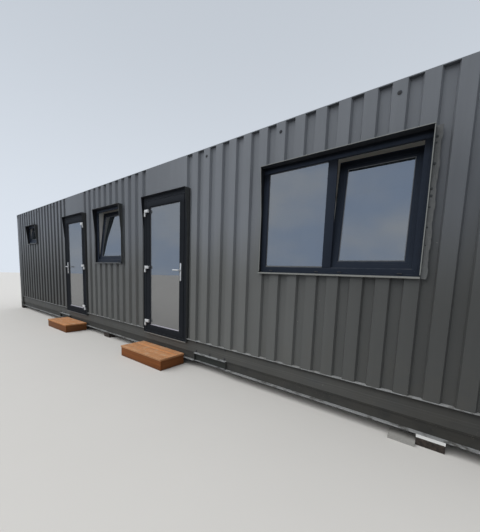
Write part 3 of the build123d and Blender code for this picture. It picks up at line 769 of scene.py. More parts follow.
def sill_strip():
    """The pale strip under each window: duller and dirtier at the two windows on the left."""
    f = Finish("bright_flashing")
    here = f.place()
    smudge = f.noise(here, 24.0, 5.0, 0.6)
    streak = f.drawn((30.0, 2.0, 2.0), 4.0, 0.6)
    clean = f.bright((0.225, 0.228, 0.212), 0.72 + 0.30 * streak + 0.26 * smudge)
    dull = f.bright((0.105, 0.108, 0.106), 0.70 + 0.6 * smudge)
    strip = f.mix(f.ramp(f.coordinate(X), 1.0, 1.2), dull, clean)
    grimy = f.mix(0.4 * f.ramp(smudge, 0.56, 0.78), strip, (0.09, 0.085, 0.08))
    return f.close(Base_Color=grimy, Roughness=0.42 + 0.18 * smudge, Metallic=0.1,
                   Normal=f.bump(streak + smudge, 0.0002))


def board_wood(name, pale, darkening):
    """Stained boards: growth lines along the board, each board its own shade, worn and dusty on top."""
    f = Finish(name)
    along = f.place(attribute="grain")
    warp = f.drawn((0.8, 5.0, 5.0), 3.0, 0.55, "grain")
    lines = f.drawn((1.1, 42.0, 42.0), 5.0, 0.65, "grain")
    fibre = f.drawn((9.0, 380.0, 380.0), 3.0, 0.55, "grain")
    shade = f.ramp(0.75 * lines + 0.25 * fibre + 0.25 * warp, 0.38, 0.86)
    stain = f.mix(shade, toned(pale, darkening), pale)
    own = f.node("ShaderNodeNewGeometry", output="Random Per Island")
    warm = f.bright(toned(pale, 1.05, 0.86, 0.62), 0.66 + 0.40 * shade)
    each = f.bright(f.mix(0.8 * f.ramp(own, 0.2, 0.9), stain, warm), 0.90 + 0.18 * own)
    worn = f.facing_up() * f.ramp(f.noise(along, 7.0, 5.0, 0.65), 0.42, 0.72)
    dusty = f.mix(0.42 * worn, each, (0.50, 0.42, 0.31))
    edge = f.edges(0.004) * f.ramp(f.noise(along, 30.0, 3.0), 0.35, 0.6)
    rubbed = f.mix(0.30 * edge, dusty, f.bright(pale, 1.25))
    foot = 1.0 - f.ramp(f.height() + 0.03 * f.noise(along, 12.0, 4.0), 0.012, 0.05)
    wet = f.mix(0.5 * foot, rubbed, (0.075, 0.050, 0.034))
    return f.close(Base_Color=wet, Roughness=0.58 + 0.2 * lines, Normal=f.bump(lines + 0.7 * fibre, 0.0008),
                   Specular_IOR_Level=0.2)


def rough_timber(name, dark, pale, flecks):
    """Used timber: coarse grain, cracks, stains and flecks of old paint."""
    f = Finish(name)
    here = f.place()
    lines = f.drawn((38.0, 2.2, 38.0), 6.0, 0.7)
    stain = f.noise(here, 6.0, 5.0)
    wood = f.mix(f.ramp(lines, 0.3, 0.75), dark, pale)
    spotted = f.mix(0.6 * f.ramp(stain, 0.52, 0.68), wood, toned(dark, 0.45))
    old = f.ramp(f.noise(here, 17.0, 6.0, 0.7), 0.60, 0.66)
    flecked = f.mix(0.7 * old, spotted, flecks)
    crack = 1.0 - f.ramp(f.drawn((60.0, 1.2, 60.0), 2.0), 0.26, 0.34)
    cracked = f.mix(0.8 * crack, flecked, (0.02, 0.015, 0.01))
    return f.close(Base_Color=cracked, Roughness=0.72 + 0.2 * lines, Normal=f.bump(lines - crack, 0.0014))


def pale_board():
    """Painted boards: white, scuffed to the grain in places, dirty at the lower edge."""
    f = Finish("pale_board")
    here = f.place()
    grain = f.drawn((2.0, 2.0, 60.0), 5.0, 0.65)
    scuff = f.ramp(f.drawn((3.0, 3.0, 18.0), 6.0, 0.7), 0.56, 0.70)
    paint = f.bright((0.76, 0.76, 0.75), 0.86 + 0.24 * grain)
    scuffed = f.mix(0.45 * scuff, paint, (0.33, 0.30, 0.26))
    loose = 1.0 - f.ramp(f.height() + 0.010 * grain, 0.030, 0.056)
    dirty = f.mix(0.75 * loose, scuffed, (0.17, 0.16, 0.138))
    return f.close(Base_Color=dirty, Roughness=0.62 + 0.2 * grain, Normal=f.bump(grain + scuff, 0.0006))


def soft_black(name, tint, rough, depth):
    """Rubber, plastic or sealant: a dull skin with dust in its grain."""
    f = Finish(name)
    here = f.place()
    patch = f.noise(here, 35.0, 5.0, 0.65)
    skin = f.bright(tint, 0.7 + 0.6 * patch)
    dusty = f.mix(0.15 * f.ramp(patch, 0.5, 0.8), skin, (0.22, 0.21, 0.19))
    normal = f.bump(f.noise(here, 260.0, 4.0), depth)
    return f.close(Base_Color=dusty, Roughness=rough + 0.15 * patch, Normal=normal)


def studio_floor(tint):
    """A plain pale floor. It is pale to the eye and in mirrors, and throws back less light than it shows."""
    f = Finish("studio_floor")
    here = f.place()
    plain = f.bright(tint, 0.985 + 0.03 * f.noise(here, 1.5, 3.0))
    shown = f.mix(f.seen(), toned(tint, 0.24), plain)
    return f.close(Base_Color=shown, Roughness=0.85 + 0.05 * f.noise(here, 8.0))


FINISHES = {}


def mix_finishes():
    """Makes every finish once."""
    tints = bpy.context.scene.house_colours
    FINISHES.update({
        "wall_paint": wall_paint("wall_paint", tints.wall),
        "rail_paint": wall_paint("rail_paint", tints.wall, rail=True),
        "white_profile": white_profile(),
        "underframe_paint": under_paint(),
        "floor_ply": floor_ply(),
        "white_lining": white_lining(),
        "casing_paint": powder_coat("casing_coat", tints.casing),
        # Window frames get the hoods' painted shadow, and doors get painted light under their hoods
        "frame_paint": powder_coat("frame_coat", tints.joinery, lift=-0.65),
        "door_paint": powder_coat("door_coat", tints.doors, gloss=0.004, lift=0.75),
        "window_glass": window_glass(),
        "hinge_white": plain_metal("hinge_white", (0.60, 0.615, 0.63), (0.38, 0.38, 0.38), 0.0, 0.30),
        "bright_flashing": sill_strip(),
        "handle_silver": plain_metal("handle_silver", (0.66, 0.67, 0.68), (0.80, 0.80, 0.79), 0.35, 0.30),
        "decking_wood": board_wood("decking_wood", tints.deck, 0.62),
        "skirt_wood": board_wood("skirt_wood", tints.skirt, 0.60),
        # The pads' very dark tints also hold painted shade, for pads standing in the shade under the house
        "pad_timber": rough_timber("pad_timber", (0.014, 0.011, 0.009), (0.060, 0.044, 0.034),
                                   (0.15, 0.13, 0.11)),
        "pale_board": pale_board(),
        "dark_plastic": soft_black("dark_plastic", (0.020, 0.020, 0.022), 0.45, 0.0002),
        "sealant": soft_black("sealant", (0.045, 0.047, 0.048), 0.68, 0.0008),
        "filler": soft_black("filler", (0.105, 0.109, 0.109), 0.60, 0.0030),
        "dark_filler": soft_black("dark_filler", (0.034, 0.038, 0.039), 0.60, 0.0030),
        "pale_lip": plain_metal("pale_lip", (0.215, 0.222, 0.212), (0.34, 0.34, 0.32), 0.1, 0.40),
        "dull_lip": plain_metal("dull_lip", (0.100, 0.104, 0.104), (0.20, 0.20, 0.20), 0.1, 0.45),
        "bead_silver": plain_metal("bead_silver", (0.37, 0.355, 0.40), (0.60, 0.60, 0.62), 0.2, 0.35),
        "side_coat": powder_coat("side_coat", (0.052, 0.055, 0.056)),
        "grey_rubber": soft_black("grey_rubber", (0.085, 0.090, 0.098), 0.50, 0.0002),
    })


# Pieces

def window_lip(window, lip):
    """The folded lip along the front edge of one window's casing.

    The hood's lip is a bar along X. A cheek's lip is a thin strip, its four corners carried up the cheek's
    sloping front edge.
    """
    x0, x1, sill = window
    skin = Skin().add(bar((x0 - 0.001, HOOD_FRONT - 0.0015, HEAD - 0.2 * lip),
                          (x1 + 0.001, HOOD_FRONT + 0.004, HEAD + 0.006), X, 0.0012))
    z = np.array([sill + CHEEK_FOOT, CHEEK_BEND, HEAD - lip])
    y = np.array([CHEEK_FRONT, CHEEK_FRONT, HOOD_FRONT + 0.0006])
    for inner, outer in ((x0 - 0.001, x0 + lip), (x1 - lip, x1 + 0.001)):
        grid = np.empty((3, 4, 3))
        grid[..., X] = [inner, outer, outer, inner]
        grid[..., Y] = y[:, None] + [-0.0015, -0.0015, 0.003, 0.003]
        grid[..., Z] = z[:, None]
        skin.add(grid)
    return skin


class HOUSE_OT_finishes(bpy.types.Operator):
    """Gives every carried-over part its finish"""
    bl_idname = "house.finishes"
    bl_label = "Finishes"

    def execute(self, context):
        mix_finishes()
        slots = {part["node"]: part["material_slot"] for part in frame["record"]["subparts"]}
        for name, node in frame["nodes"].items():
            finish = "rail_paint" if name.startswith("bottom_") else slots[name]
            for place in node.material_slots:
                place.material = FINISHES[finish]
        return {"FINISHED"}


def cheek_sides(x0, x1, sill):
    """Thin skins on the outer sides of a casing's cheeks: the cheek's outline carried 1.5 mm along X."""
    lip = HOOD_FRONT + 0.0006
    outline = [(RECESS, sill + CHEEK_FOOT), (CHEEK_FRONT, sill + CHEEK_FOOT), (CHEEK_FRONT, CHEEK_BEND),
               (lip, HEAD - 0.004), (lip, HEAD), (RECESS, HEAD)]
    return Skin().add(carried(outline, x0 - 0.0015, x0), carried(outline, x1, x1 + 0.0015))


class HOUSE_OT_casing_lips(bpy.types.Operator):
    """Folded lips on the edges of the window casings, and the dull outer sides of all cheeks"""
    bl_idname = "house.casing_lips"
    bl_label = "Casing lips"

    def execute(self, context):
        lip = context.scene.house_sizes.edge_lip
        for name, window in WINDOWS.items():
            finish = "pale_lip" if name == "big" else "dull_lip"
            window_lip(window, lip).piece(f"casing_lip_{name}_window", "house", "casing_paint", finish)
            sides = cheek_sides(*window)
            sides.piece(f"cheek_sides_{name}_window", "house", "casing_paint", "side_coat")
        for name, door in DOORS.items():
            sides = cheek_sides(*door["casing"], FLOOR - 0.020)
            sides.piece(f"cheek_sides_{name}_door", "house", "casing_paint", "side_coat")
        return {"FINISHED"}


def sealant_bead(x, z0, z1, phase):
    """A hand-laid bead up a casing: a flattened round whose radius is a sum of three sines of the height."""
    z = np.linspace(z0, z1, 120)[:, None]
    swell = 0.0007 * np.sin(37 * z + phase) + 0.0005 * np.sin(91 * z + 2 * phase) + 0.0004 * np.sin(203 * z)
    radius = 0.0034 + swell
    angle = np.linspace(0, 2 * math.pi, 8, endpoint=False)
    grid = np.empty((len(z), len(angle), 3))
    grid[..., X] = x + radius * np.cos(angle)
    grid[..., Y] = CREST + 0.8 * radius * np.sin(angle)
    grid[..., Z] = z
    return grid


class HOUSE_OT_sealant(bpy.types.Operator):
    """Beads of sealant where the casings meet the ribbed wall"""
    bl_idname = "house.sealant"
    bl_label = "Sealant"

    def execute(self, context):
        skin = Skin()
        gap = 0.002
        spans = [*WINDOWS.values(), *((*door["casing"], RAIL_TOP) for door in DOORS.values())]
        for number, (x0, x1, sill) in enumerate(spans):
            skin.add(sealant_bead(x0 - gap, sill + gap, HEAD - gap, number),
                     sealant_bead(x1 + gap, sill + gap, HEAD - gap, number + 0.5))
        skin.piece("casing_sealant", "house", "wall_paint", "sealant")
        return {"FINISHED"}


class HOUSE_OT_vents(bpy.types.Operator):
    """Small vent plugs under the roof edge, on every fifth rib towards both ends of the wall"""
    bl_idname = "house.vents"
    bl_label = "Vents"

    def execute(self, context):
        size = context.scene.house_sizes.vent
        level = 2.890
        profile = [(size, 0.001), (size, -0.003), (0.8 * size, -0.006), (0.45 * size, -0.0075),
                   (0.1 * size, -0.008)]
        skin = Skin()
        for rib in (-24, -19, -14, 11, 16, 21, 26):
            skin.add(turned(profile, (rib * RIB_PITCH, CREST, level), Y, 14))
        skin.piece("vent_plugs", "house", "frame_paint", "dark_plastic")
        return {"FINISHED"}


class HOUSE_OT_pocket_bolts(bpy.types.Operator):
    """Bolt heads over the fork pocket places"""
    bl_idname = "house.pocket_bolts"
    bl_label = "Pocket bolts"

    def execute(self, context):
        skin = Skin()
        web = FRONT + 0.028
        washer = [(0.017, 0.001), (0.017, -0.003), (0.012, -0.0035)]
        head = [(0.012, -0.003), (0.012, -0.012), (0.0100, -0.0140)]
        for place in (-POCKET, POCKET):
            for x in (place - 0.27, place, place + 0.27):
                for z in (BASE + 0.145, RAIL_TOP - 0.027):
                    skin.add(turned(washer, (x, web, z), Y, 16), turned(head, (x, web, z), Y, 6))
        skin.piece("pocket_bolts", "house", "underframe_paint", "underframe_paint", 20)
        return {"FINISHED"}


def rough_strip(x0, x1, z0, z1):
    """A filled strip beside a casing.

    Its face is a grid of place across and height: the face's depth is a sum of sines of the height, and its
    outer edge wanders by another.
    """
    z = np.linspace(z0, z1, 160)[:, None]
    share = np.array([0.0, 0.0, 0.25, 0.5, 0.75, 0.94, 1.0])
    wander = 0.003 * np.sin(23 * z) + 0.002 * np.sin(61 * z + 1) + 0.001 * np.sin(143 * z)
    depth = 0.0008 * np.sin(31 * z + 9 * share) + 0.0006 * np.sin(77 * z - 14 * share) + 0.0016
    grid = np.empty((len(z), len(share), 3))
    grid[..., X] = x0 + share * (x1 - x0 + wander)
    grid[..., Y] = CREST - depth
    grid[:, [0, -1], Y] = CREST + 0.0015
    grid[..., Z] = z
    return grid


class HOUSE_OT_filler_strips(bpy.types.Operator):
    """The filled strips on the right of the window casings, with weld spots beside the big one"""
    bl_idname = "house.filler_strips"
    bl_label = "Filler strips"

    def execute(self, context):
        width = context.scene.house_sizes.filler
        for name, (_, x1, sill) in WINDOWS.items():
            big = name == "big"
            wide, over = (width, 0.008) if big else (0.6 * width, 0.001)
            finish = "filler" if big else "dark_filler"
            strip = Skin().add(rough_strip(x1 - 0.001, x1 + wide, sill - 0.004, HEAD + over))
            strip.piece(f"filler_strip_{name}_window", "house", "wall_paint", finish)
        x = WINDOWS["big"][1] + 0.012
        spots = Skin()
        for z, size in ((2.480, 0.0110), (2.435, 0.0075), (2.280, 0.0120), (2.095, 0.0105), (2.040, 0.0120),
                        (1.955, 0.0075), (1.800, 0.0070), (1.66, 0.0060)):
            profile = [(size, 0.001), (size, -0.0024), (0.7 * size, -0.0042), (0.2 * size, -0.0048)]
            spots.add(turned(profile, (x, CREST, z), Y, 10))
        spots.piece("filler_spots", "house", "wall_paint", "dark_filler")
        return {"FINISHED"}


def groove(share, start, face):
    """A fine groove in a frame's profile, 2 mm wide and 1.2 mm deep."""
    return [(share, start, face), (share, start + 0.001, face + 0.0012), (share, start + 0.002, face)]


class HOUSE_OT_window_frames(bpy.types.Operator):
    """Window frames: mitred profiles with a dark outer skin over a white core"""
    bl_idname = "house.window_frames"
    bl_label = "Window frames"

    def execute(self, context):
        skins = Skin()
        cores = Skin()
        face, behind = WINDOW_LIP, REBATE - 0.0005
        skin_profile = [(0, 0, behind), (0, 0, face + 0.006), (0, 0.007, face), *groove(0.62, 0, face),
                        (1, -0.002, face), (1, 0, face + 0.002), (1, 0, behind)]
        core_profile = [(0, 0.024, REBATE), (1, -0.0005, REBATE), (1, -0.0005, FRAME_BACK),
                        (0, 0.024, FRAME_BACK)]
        side, foot = FRAME_SIDE - 0.003, FRAME_FOOT - 0.003
        for x0, x1, sill in WINDOWS.values():
            opening = (x0 + FRAME_SIDE, x1 - FRAME_SIDE, sill + FRAME_FOOT, SASH_HEAD)
            skins.add(*frame_sides(opening, skin_profile, (side, side, foot, side)))
            cores.add(*frame_sides(opening, core_profile, (side, side, foot, side)))
        x0, x1 = MULLION
        z0, z1 = FIXED_PANE[2] - 0.001, FIXED_PANE[3] + 0.001
        skins.add(bar((x0, face, z0), (x1, behind, z1), Z, 0.003))
        cores.add(bar((x0 + 0.024, REBATE, z0 - 0.02), (x1 - 0.024, FRAME_BACK, z1 + 0.02), Z, 0.002))
        made = skins.piece("window_frame_skins", "house", "frame_paint", "frame_paint")
        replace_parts(made, "window_frames")
        cores.piece("window_frame_cores", "house", "white_lining", "white_profile")
        return {"FINISHED"}


def sash_pane(name):
    """The pane opening of a sash before it is tilted: left, right, bottom and top."""
    x0, x1, sill = SASHES[name]
    return x0 + SASH_STILE, x1 - SASH_STILE, sill + SASH_STILE, SASH_HEAD - SASH_TOP_RAIL


class HOUSE_OT_sashes(bpy.types.Operator):
    """The three tilted sashes, with their handles on the room side"""
    bl_idname = "house.sashes"
    bl_label = "Sashes"

    def execute(self, context):
        face, pane, back = SASH_FACE, SASH_PANE, SASH_BACK
        skin_profile = [(0, 0, pane), (0, 0, face + 0.009), (0, 0.012, face), *groove(0, 0.028, face),
                        (1, -0.0045, face), (1, 0, face + 0.0045), (1, 0, face + 0.006),
                        (1, -0.003, face + 0.0062), (1, -0.003, pane)]
        core_profile = [(0, 0.0003, pane + 0.0003), (1, -0.0035, pane + 0.0003), (1, -0.0035, face + 0.0065),
                        (1, -0.0003, face + 0.0065), (1, -0.0003, back - 0.002), (1, -0.0023, back),
                        (0, 0.006, back), (0, 0.0003, back - 0.006)]
        widths = (SASH_STILE + 0.020, SASH_STILE + 0.020, SASH_STILE + SASH_DROP, SASH_STILE + 0.020)
        for name, (x0, _, sill) in SASHES.items():
            skin = Skin().add(*frame_sides(sash_pane(name), skin_profile, widths, sill))
            core = Skin().add(*frame_sides(sash_pane(name), core_profile, widths, sill))
            made = skin.piece(f"sash_skin_{name}", "house", "frame_paint", "frame_paint")
            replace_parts(made, f"sash_{name}_window")
            core.piece(f"sash_core_{name}", "house", "white_lining", "white_profile")
            self.handle(name, x0 + 0.022, sill)
        return {"FINISHED"}

    def handle(self, name, x, sill):
        """A rose, a neck and a grip that points up, on the left stile's room side."""
        y, z = SASH_BACK, (sill + SASH_HEAD) / 2
        rose = bar((x - 0.014, y - 0.001, z - 0.035), (x + 0.014, y + 0.011, z + 0.035), Z, 0.005)
        neck = turned([(0.009, 0.0), (0.009, 0.034), (0.007, 0.040)], (x, y, z), Y, 14)
        grip = bar((x - 0.010, y + 0.033, z - 0.012), (x + 0.010, y + 0.046, z + 0.118), Z, 0.005)
        skin = Skin().add(tilted(rose, sill), tilted(neck, sill), tilted(grip, sill))
        skin.piece(f"sash_handle_{name}", "house", "hinge_white", "hinge_white")


def door_pane(side):
    """The pane opening of a door's leaf: left, right, bottom and top."""
    x0, x1 = DOORS[side]["leaf"]
    return x0 + LEAF_STILE, x1 - LEAF_STILE, LEAF_FOOT + LEAF_RAIL, LEAF_HEAD - LEAF_STILE


class HOUSE_OT_door_joinery(bpy.types.Operator):
    """Door frames and leaves: mitred profiles with a dark outer skin over a white core"""
    bl_idname = "house.door_joinery"
    bl_label = "Door joinery"

    def execute(self, context):
        for side in DOORS:
            self.leaf(side)
        self.frames()
        return {"FINISHED"}

    def frames(self):
        """Both door frames: the skin covers the front 25 mm, and the core has a stop behind the leaf."""
        face, back = DOOR_FACE, DOOR_FACE + 0.085
        skin_profile = [(0, 0, face + 0.025), (0, 0, face + 0.0025), (0, 0.0025, face), (1, -0.002, face),
                        (1, 0, face + 0.002), (1, 0, face + 0.025)]
        core_profile = [(0, 0.0005, face + 0.0253), (1, -0.0005, face + 0.0253), (1, -0.0005, back),
                        (-0.31, 0, back), (-0.31, 0, back - 0.020), (0, 0.0005, back - 0.020)]
        skins = Skin()
        cores = Skin()
        side, foot = 0.061, 0.033
        widths = (side - 0.003, side - 0.003, foot - 0.003, side - 0.003)
        for door in DOORS.values():
            x0, x1 = door["casing"]
            opening = (x0 + side, x1 - side, FLOOR + foot, HEAD - side)
            skins.add(*frame_sides(opening, skin_profile, widths))
            cores.add(*frame_sides(opening, core_profile, widths))
        made = skins.piece("door_frame_skins", "house", "frame_paint", "door_paint")
        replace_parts(made, "door_frames")
        cores.piece("door_frame_cores", "house", "white_lining", "white_profile")

    def leaf(self, side):
        """One leaf: the skin covers it down to the pane, and the core is the rest."""
        face, pane, back = DOOR_FACE, DOOR_PANE, LEAF_BACK
        skin_profile = [(0, 0, pane), (0, 0, face + 0.009), (0, 0.011, face), *groove(0, 0.028, face),
                        (1, -0.0035, face), (1, 0, face + 0.0035), (1, 0, pane)]
        core_profile = [(0, 0.0003, pane + 0.0003), (1, -0.0003, pane + 0.0003), (1, -0.0003, back - 0.002),
                        (1, -0.002, back), (0, 0.006, back), (0, 0.0003, back - 0.006)]
        widths = (LEAF_STILE, LEAF_STILE, LEAF_RAIL, LEAF_STILE)
        skin = Skin().add(*frame_sides(door_pane(side), skin_profile, widths))
        core = Skin().add(*frame_sides(door_pane(side), core_profile, widths))
        made = skin.piece(f"leaf_skin_{side}", f"{side}_door", "frame_paint", "door_paint")
        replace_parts(made, f"leaf_{side}_door")
        core.piece(f"leaf_core_{side}", f"{side}_door", "white_lining", "white_profile")


def gasket_profile(width, face, turn=1):
    """A rounded lip from the pane's edge inwards: (0, outwards, y) round a quarter circle.

    It stands out from the pane's face, towards the front where turn is 1 and towards the room where it is -1.
    """
    angle = np.radians(np.linspace(0, 90, 4))
    high = -0.7 * width
    curve = np.stack([0 * angle, -width * np.cos(angle), high * np.sin(angle)], axis=1)
    profile = np.vstack([curve, [[0, 0.002, high], [0, 0.002, 0.001], [0, -width, 0.001]]])
    profile[:, 2] = face + turn * profile[:, 2]
    return profile


class HOUSE_OT_gaskets(bpy.types.Operator):
    """Rubber gaskets round the panes of the windows and doors"""
    bl_idname = "house.gaskets"
    bl_label = "Gaskets"

    def execute(self, context):
        width = context.scene.house_sizes.gasket
        skin = Skin().add(frame_loop(*FIXED_PANE, gasket_profile(width, REBATE)), loop=True)
        for name, (_, _, sill) in SASHES.items():
            skin.add(tilted(frame_loop(*sash_pane(name), gasket_profile(width, SASH_PANE)), sill), loop=True)
        skin.piece("window_gaskets", "house", "frame_paint", "grey_rubber")
        for side in DOORS:
            front = frame_loop(*door_pane(side), gasket_profile(width, DOOR_PANE))
            back = frame_loop(*door_pane(side), gasket_profile(width, DOOR_PANE_BACK, -1))
            skin = Skin().add(front, back, loop=True)
            skin.piece(f"gaskets_{side}_door", f"{side}_door", "frame_paint", "grey_rubber")
        return {"FINISHED"}


def glazing_bead(opening, pane, depths, levels):
    """A sloped bead along the foot of a pane.

    Its section rises behind the pane's face to the first level, and slopes down over the other two levels at
    the two depths in front of the face. It is carried along X, 2 mm short of the opening at each end.
    """
    x0, x1, foot, _ = opening
    top, shoulder, toe = levels
    middle, front = depths
    section = [(pane + 0.001, foot - 0.001), (pane + 0.001, foot + top), (pane - middle, foot + shoulder),
               (pane - front, foot + toe), (pane - front, foot - 0.001)]
    return carried(section, x0 + 0.002, x1 - 0.002)


class HOUSE_OT_glazing_beads(bpy.types.Operator):
    """Sloped beads under the panes: dull ones in the windows and bright ones in the doors"""
    bl_idname = "house.glazing_beads"
    bl_label = "Glazing beads"

    def execute(self, context):
        high = context.scene.house_sizes.bead
        levels = (high, 0.85 * high, 0.15 * high)
        low_levels = (0.6 * high, 0.5 * high, 0.1 * high)
        skin = Skin().add(glazing_bead(FIXED_PANE, REBATE, (0.004, 0.016), levels))
        for name, (_, _, sill) in SASHES.items():
            skin.add(tilted(glazing_bead(sash_pane(name), SASH_PANE, (0.003, 0.006), low_levels), sill))
        skin.piece("window_beads", "house", "handle_silver", "dull_lip")
        for side in DOORS:
            skin = Skin().add(glazing_bead(door_pane(side), DOOR_PANE, (0.004, 0.013), levels))
            skin.piece(f"bead_{side}_door", f"{side}_door", "handle_silver", "bead_silver")
        return {"FINISHED"}


class HOUSE_OT_drain_caps(bpy.types.Operator):
    """Drain caps on the foot of each window frame"""
    bl_idname = "house.drain_caps"
    bl_label = "Drain caps"

    def execute(self, context):
        skin = Skin()
        y0, y1 = WINDOW_LIP - 0.006, WINDOW_LIP + 0.001
        places = {"big": (3.42, 3.95, 4.18, 4.68), "middle": (-0.56, 0.10), "small": (-4.93, -4.38)}
        for name, spots in places.items():
            z = WINDOWS[name][2] + 0.030
            for x in spots:
                skin.add(bar((x - 0.019, y0, z), (x + 0.019, y1, z + 0.011), X, 0.003))
        skin.piece("drain_caps", "house", "frame_paint", "dark_plastic")
        return {"FINISHED"}


def deck_board(x0, x1, y0, y1):
    """A grooved deck board: a round-edged rectangle, its top dipping by a cosine in each groove, along X."""
    z0, z1 = STEP_TOP - STEP_BOARD, STEP_TOP
    y = np.linspace(y0 + 0.004, y1 - 0.004, 57)
    share = (y - y[0]) / (y[-1] - y[0])
    dip = 0.0011 * np.clip(np.cos(share * 7 * 2 * math.pi + math.pi) * 3 - 2, 0, 1)
    top = np.stack([y, z1 - dip], axis=1)
    sides = np.array([[y1 - 0.0012, z1 - 0.0012], [y1, z1 - 0.004], [y1, z0 + 0.002], [y1 - 0.002, z0],
                      [y0 + 0.002, z0], [y0, z0 + 0.002], [y0, z1 - 0.004], [y0 + 0.0012, z1 - 0.0012]])
    section = np.vstack([top, sides])
    centre = np.array([(y0 + y1) / 2, (z0 + z1) / 2])
    shrunk = centre + (section - centre) * [0.985, 0.90]
    grid = np.empty((4, len(section), 3))
    grid[..., X] = np.array([x0, x0 + 0.0015, x1 - 0.0015, x1])[:, None]
    grid[..., [Y, Z]] = np.stack([shrunk, section, section, shrunk])
    return grid


class HOUSE_OT_steps(bpy.types.Operator):
    """Boards and screws of the two box steps"""
    bl_idname = "house.steps"
    bl_label = "Steps"

    def execute(self, context):
        gap = context.scene.house_sizes.board_gap
        decks = Skin()
        screws = Skin()
        skirts = Skin()
        for x0, x1 in STEPS:
            self.deck(decks, screws, x0, x1, gap)
            self.skirt(skirts, x0, x1)
        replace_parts(decks.piece("step_deck_boards", "house", "decking_wood", "decking_wood"), "step_decks")
        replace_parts(skirts.piece("step_skirt_boards", "house", "skirt_wood", "skirt_wood"), "step_skirts")
        screws.piece("step_screws", "house", "handle_silver", "handle_silver")
        return {"FINISHED"}

    def deck(self, decks, screws, x0, x1, gap):
        """The three boards of a step's top, each held by two screws at both ends and in the middle."""
        boards = 3
        width = (FRONT - STEP_FRONT - (boards - 1) * gap) / boards
        screw = [(0.0042, -0.001), (0.0042, 0.0003), (0.0030, 0.0006), (0.0012, 0.0001)]
        from_end, from_side = 0.045, 0.030
        for number in range(boards):
            y0 = STEP_FRONT + number * (width + gap)
            decks.add(deck_board(x0, x1, y0, y0 + width))
            for x in (x0 + from_end, (x0 + x1) / 2, x1 - from_end):
                for y in (y0 + from_side, y0 + width - from_side):
                    screws.add(turned(screw, (x, y, STEP_TOP), Z, 10))

    def skirt(self, skirts, x0, x1):
        """The four boards under a step's top: the side ones stand between the front and the back one."""
        inset, gap = 0.007, 0.0015
        left, right = x0 + inset, x1 - inset
        front, back = STEP_FRONT + inset, FRONT - STEP_BOARD
        top = STEP_TOP - STEP_BOARD - 0.001
        for y in (front, back):
            skirts.add(bar((left, y, 0.0), (right, y + STEP_BOARD, top), X, 0.003))
        y0, y1 = front + STEP_BOARD + gap, back - gap
        for x in (left, right - STEP_BOARD):
            skirts.add(bar((x, y0, 0.0), (x + STEP_BOARD, y1, top), Y, 0.003), along=Y)


def hinge_barrel(x, z0, z1, radius=0.012):
    """A barrel with domed ends: the radius falls by the cosine over the last 3 mm."""
    rise = np.radians([0, 30, 60, 80])
    end = 0.003
    half = (z1 - z0) / 2
    low = np.stack([radius - end + end * np.cos(rise), end - half - end * np.sin(rise)], axis=1)[::-1]
    high = low[::-1] * [1, -1]
    return turned(np.vstack([low, high]), (x, HINGE_Y, z0 + half), Z, 20)


class HOUSE_OT_hinges(bpy.types.Operator):
    """Covered hinges: a large flag on the leaf over a small one on the frame"""
    bl_idname = "house.hinges"
    bl_label = "Hinges"

    def execute(self, context):
        frame_parts = Skin()
        for side, door in DOORS.items():
            flags = Skin()
            for level in HINGE_LEVELS:
                self.hinge(flags, frame_parts, level, door["hinge"], -door["side"])
            made = flags.piece(f"hinge_covers_{side}", f"{side}_door", "hinge_white", "hinge_white")
            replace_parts(made, f"hinge_flags_{side}")
        made = frame_parts.piece("hinge_frame_covers", "house", "hinge_white", "hinge_white")
        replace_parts(made, "hinge_pins")
        return {"FINISHED"}

    def hinge(self, flags, frame_parts, level, axis, away):
        """One hinge: barrel and short flag below its level, and barrel, long flag and web above it."""
        low, high = sorted((axis, axis - away * 0.022))
        short_flag = bar((low, HINGE_Y - 0.006, level - 0.056), (high, DOOR_FACE, level - 0.0015), Z, 0.003)
        frame_parts.add(hinge_barrel(axis, level - 0.057, level - 0.0005), short_flag)
        low, high = sorted((axis + away * 0.007, axis + away * 0.090))
        flag = bar((low, HINGE_Y - 0.012, level + 0.002), (high, DOOR_FACE, level + 0.049), X, 0.004)
        low, high = sorted((axis, axis + away * 0.02))
        web = bar((low, HINGE_Y - 0.0115, level + 0.003), (high, HINGE_Y - 0.001, level + 0.048), X, 0.004)
        flags.add(hinge_barrel(axis, level + 0.001, level + 0.050), flag, web)


def plate(x, z0, z1, half, back, face):
    """An upright back plate with half-round ends.

    Its outline is two half circles of the plate's half width. It is carried from the leaf to the face, and
    drawn in by 2 mm over the last fifth.
    """
    angle = np.radians(np.linspace(0, 180, 9))
    head = np.stack([half * np.cos(angle), z1 - half + half * np.sin(angle)], axis=1)
    foot = np.stack([-half * np.cos(angle), z0 + half - half * np.sin(angle)], axis=1)
    outline = np.vstack([head, foot])
    middle = np.array([0.0, (z0 + z1) / 2])
    inner = middle + (outline - middle) * [1 - 0.0022 / half, 1 - 0.0044 / (z1 - z0)]
    shape = np.stack([outline, outline, inner])
    grid = np.empty((3, len(outline), 3))
    grid[..., X] = x + shape[..., 0]
    grid[..., Y] = np.array([back, back + 0.8 * (face - back), face])[:, None]
    grid[..., Z] = shape[..., 1]
    return grid


def grip_path(x, face, outwards, towards):
    """The handle's line: out from the leaf, round a quarter circle of 14 mm, then level to the grip's end."""
    turn = np.radians(np.linspace(0, 90, 7))
    reach, bend, long = 0.052, 0.014, 0.125
    out = np.stack([np.zeros(3), np.linspace(0.004, reach - bend, 3)], axis=1)
    arc = np.stack([bend * (1 - np.cos(turn)), reach - bend + bend * np.sin(turn)], axis=1)
    level = np.stack([np.linspace(bend + 0.006, long, 8), np.full(8, reach)], axis=1)
    flat = np.vstack([out, arc[1:], level])
    path = np.empty((len(flat), 3))
    path[:, X] = x + towards * flat[:, 0]
    path[:, Y] = face + outwards * flat[:, 1]
    path[:, Z] = SPINDLE_Z
    return path


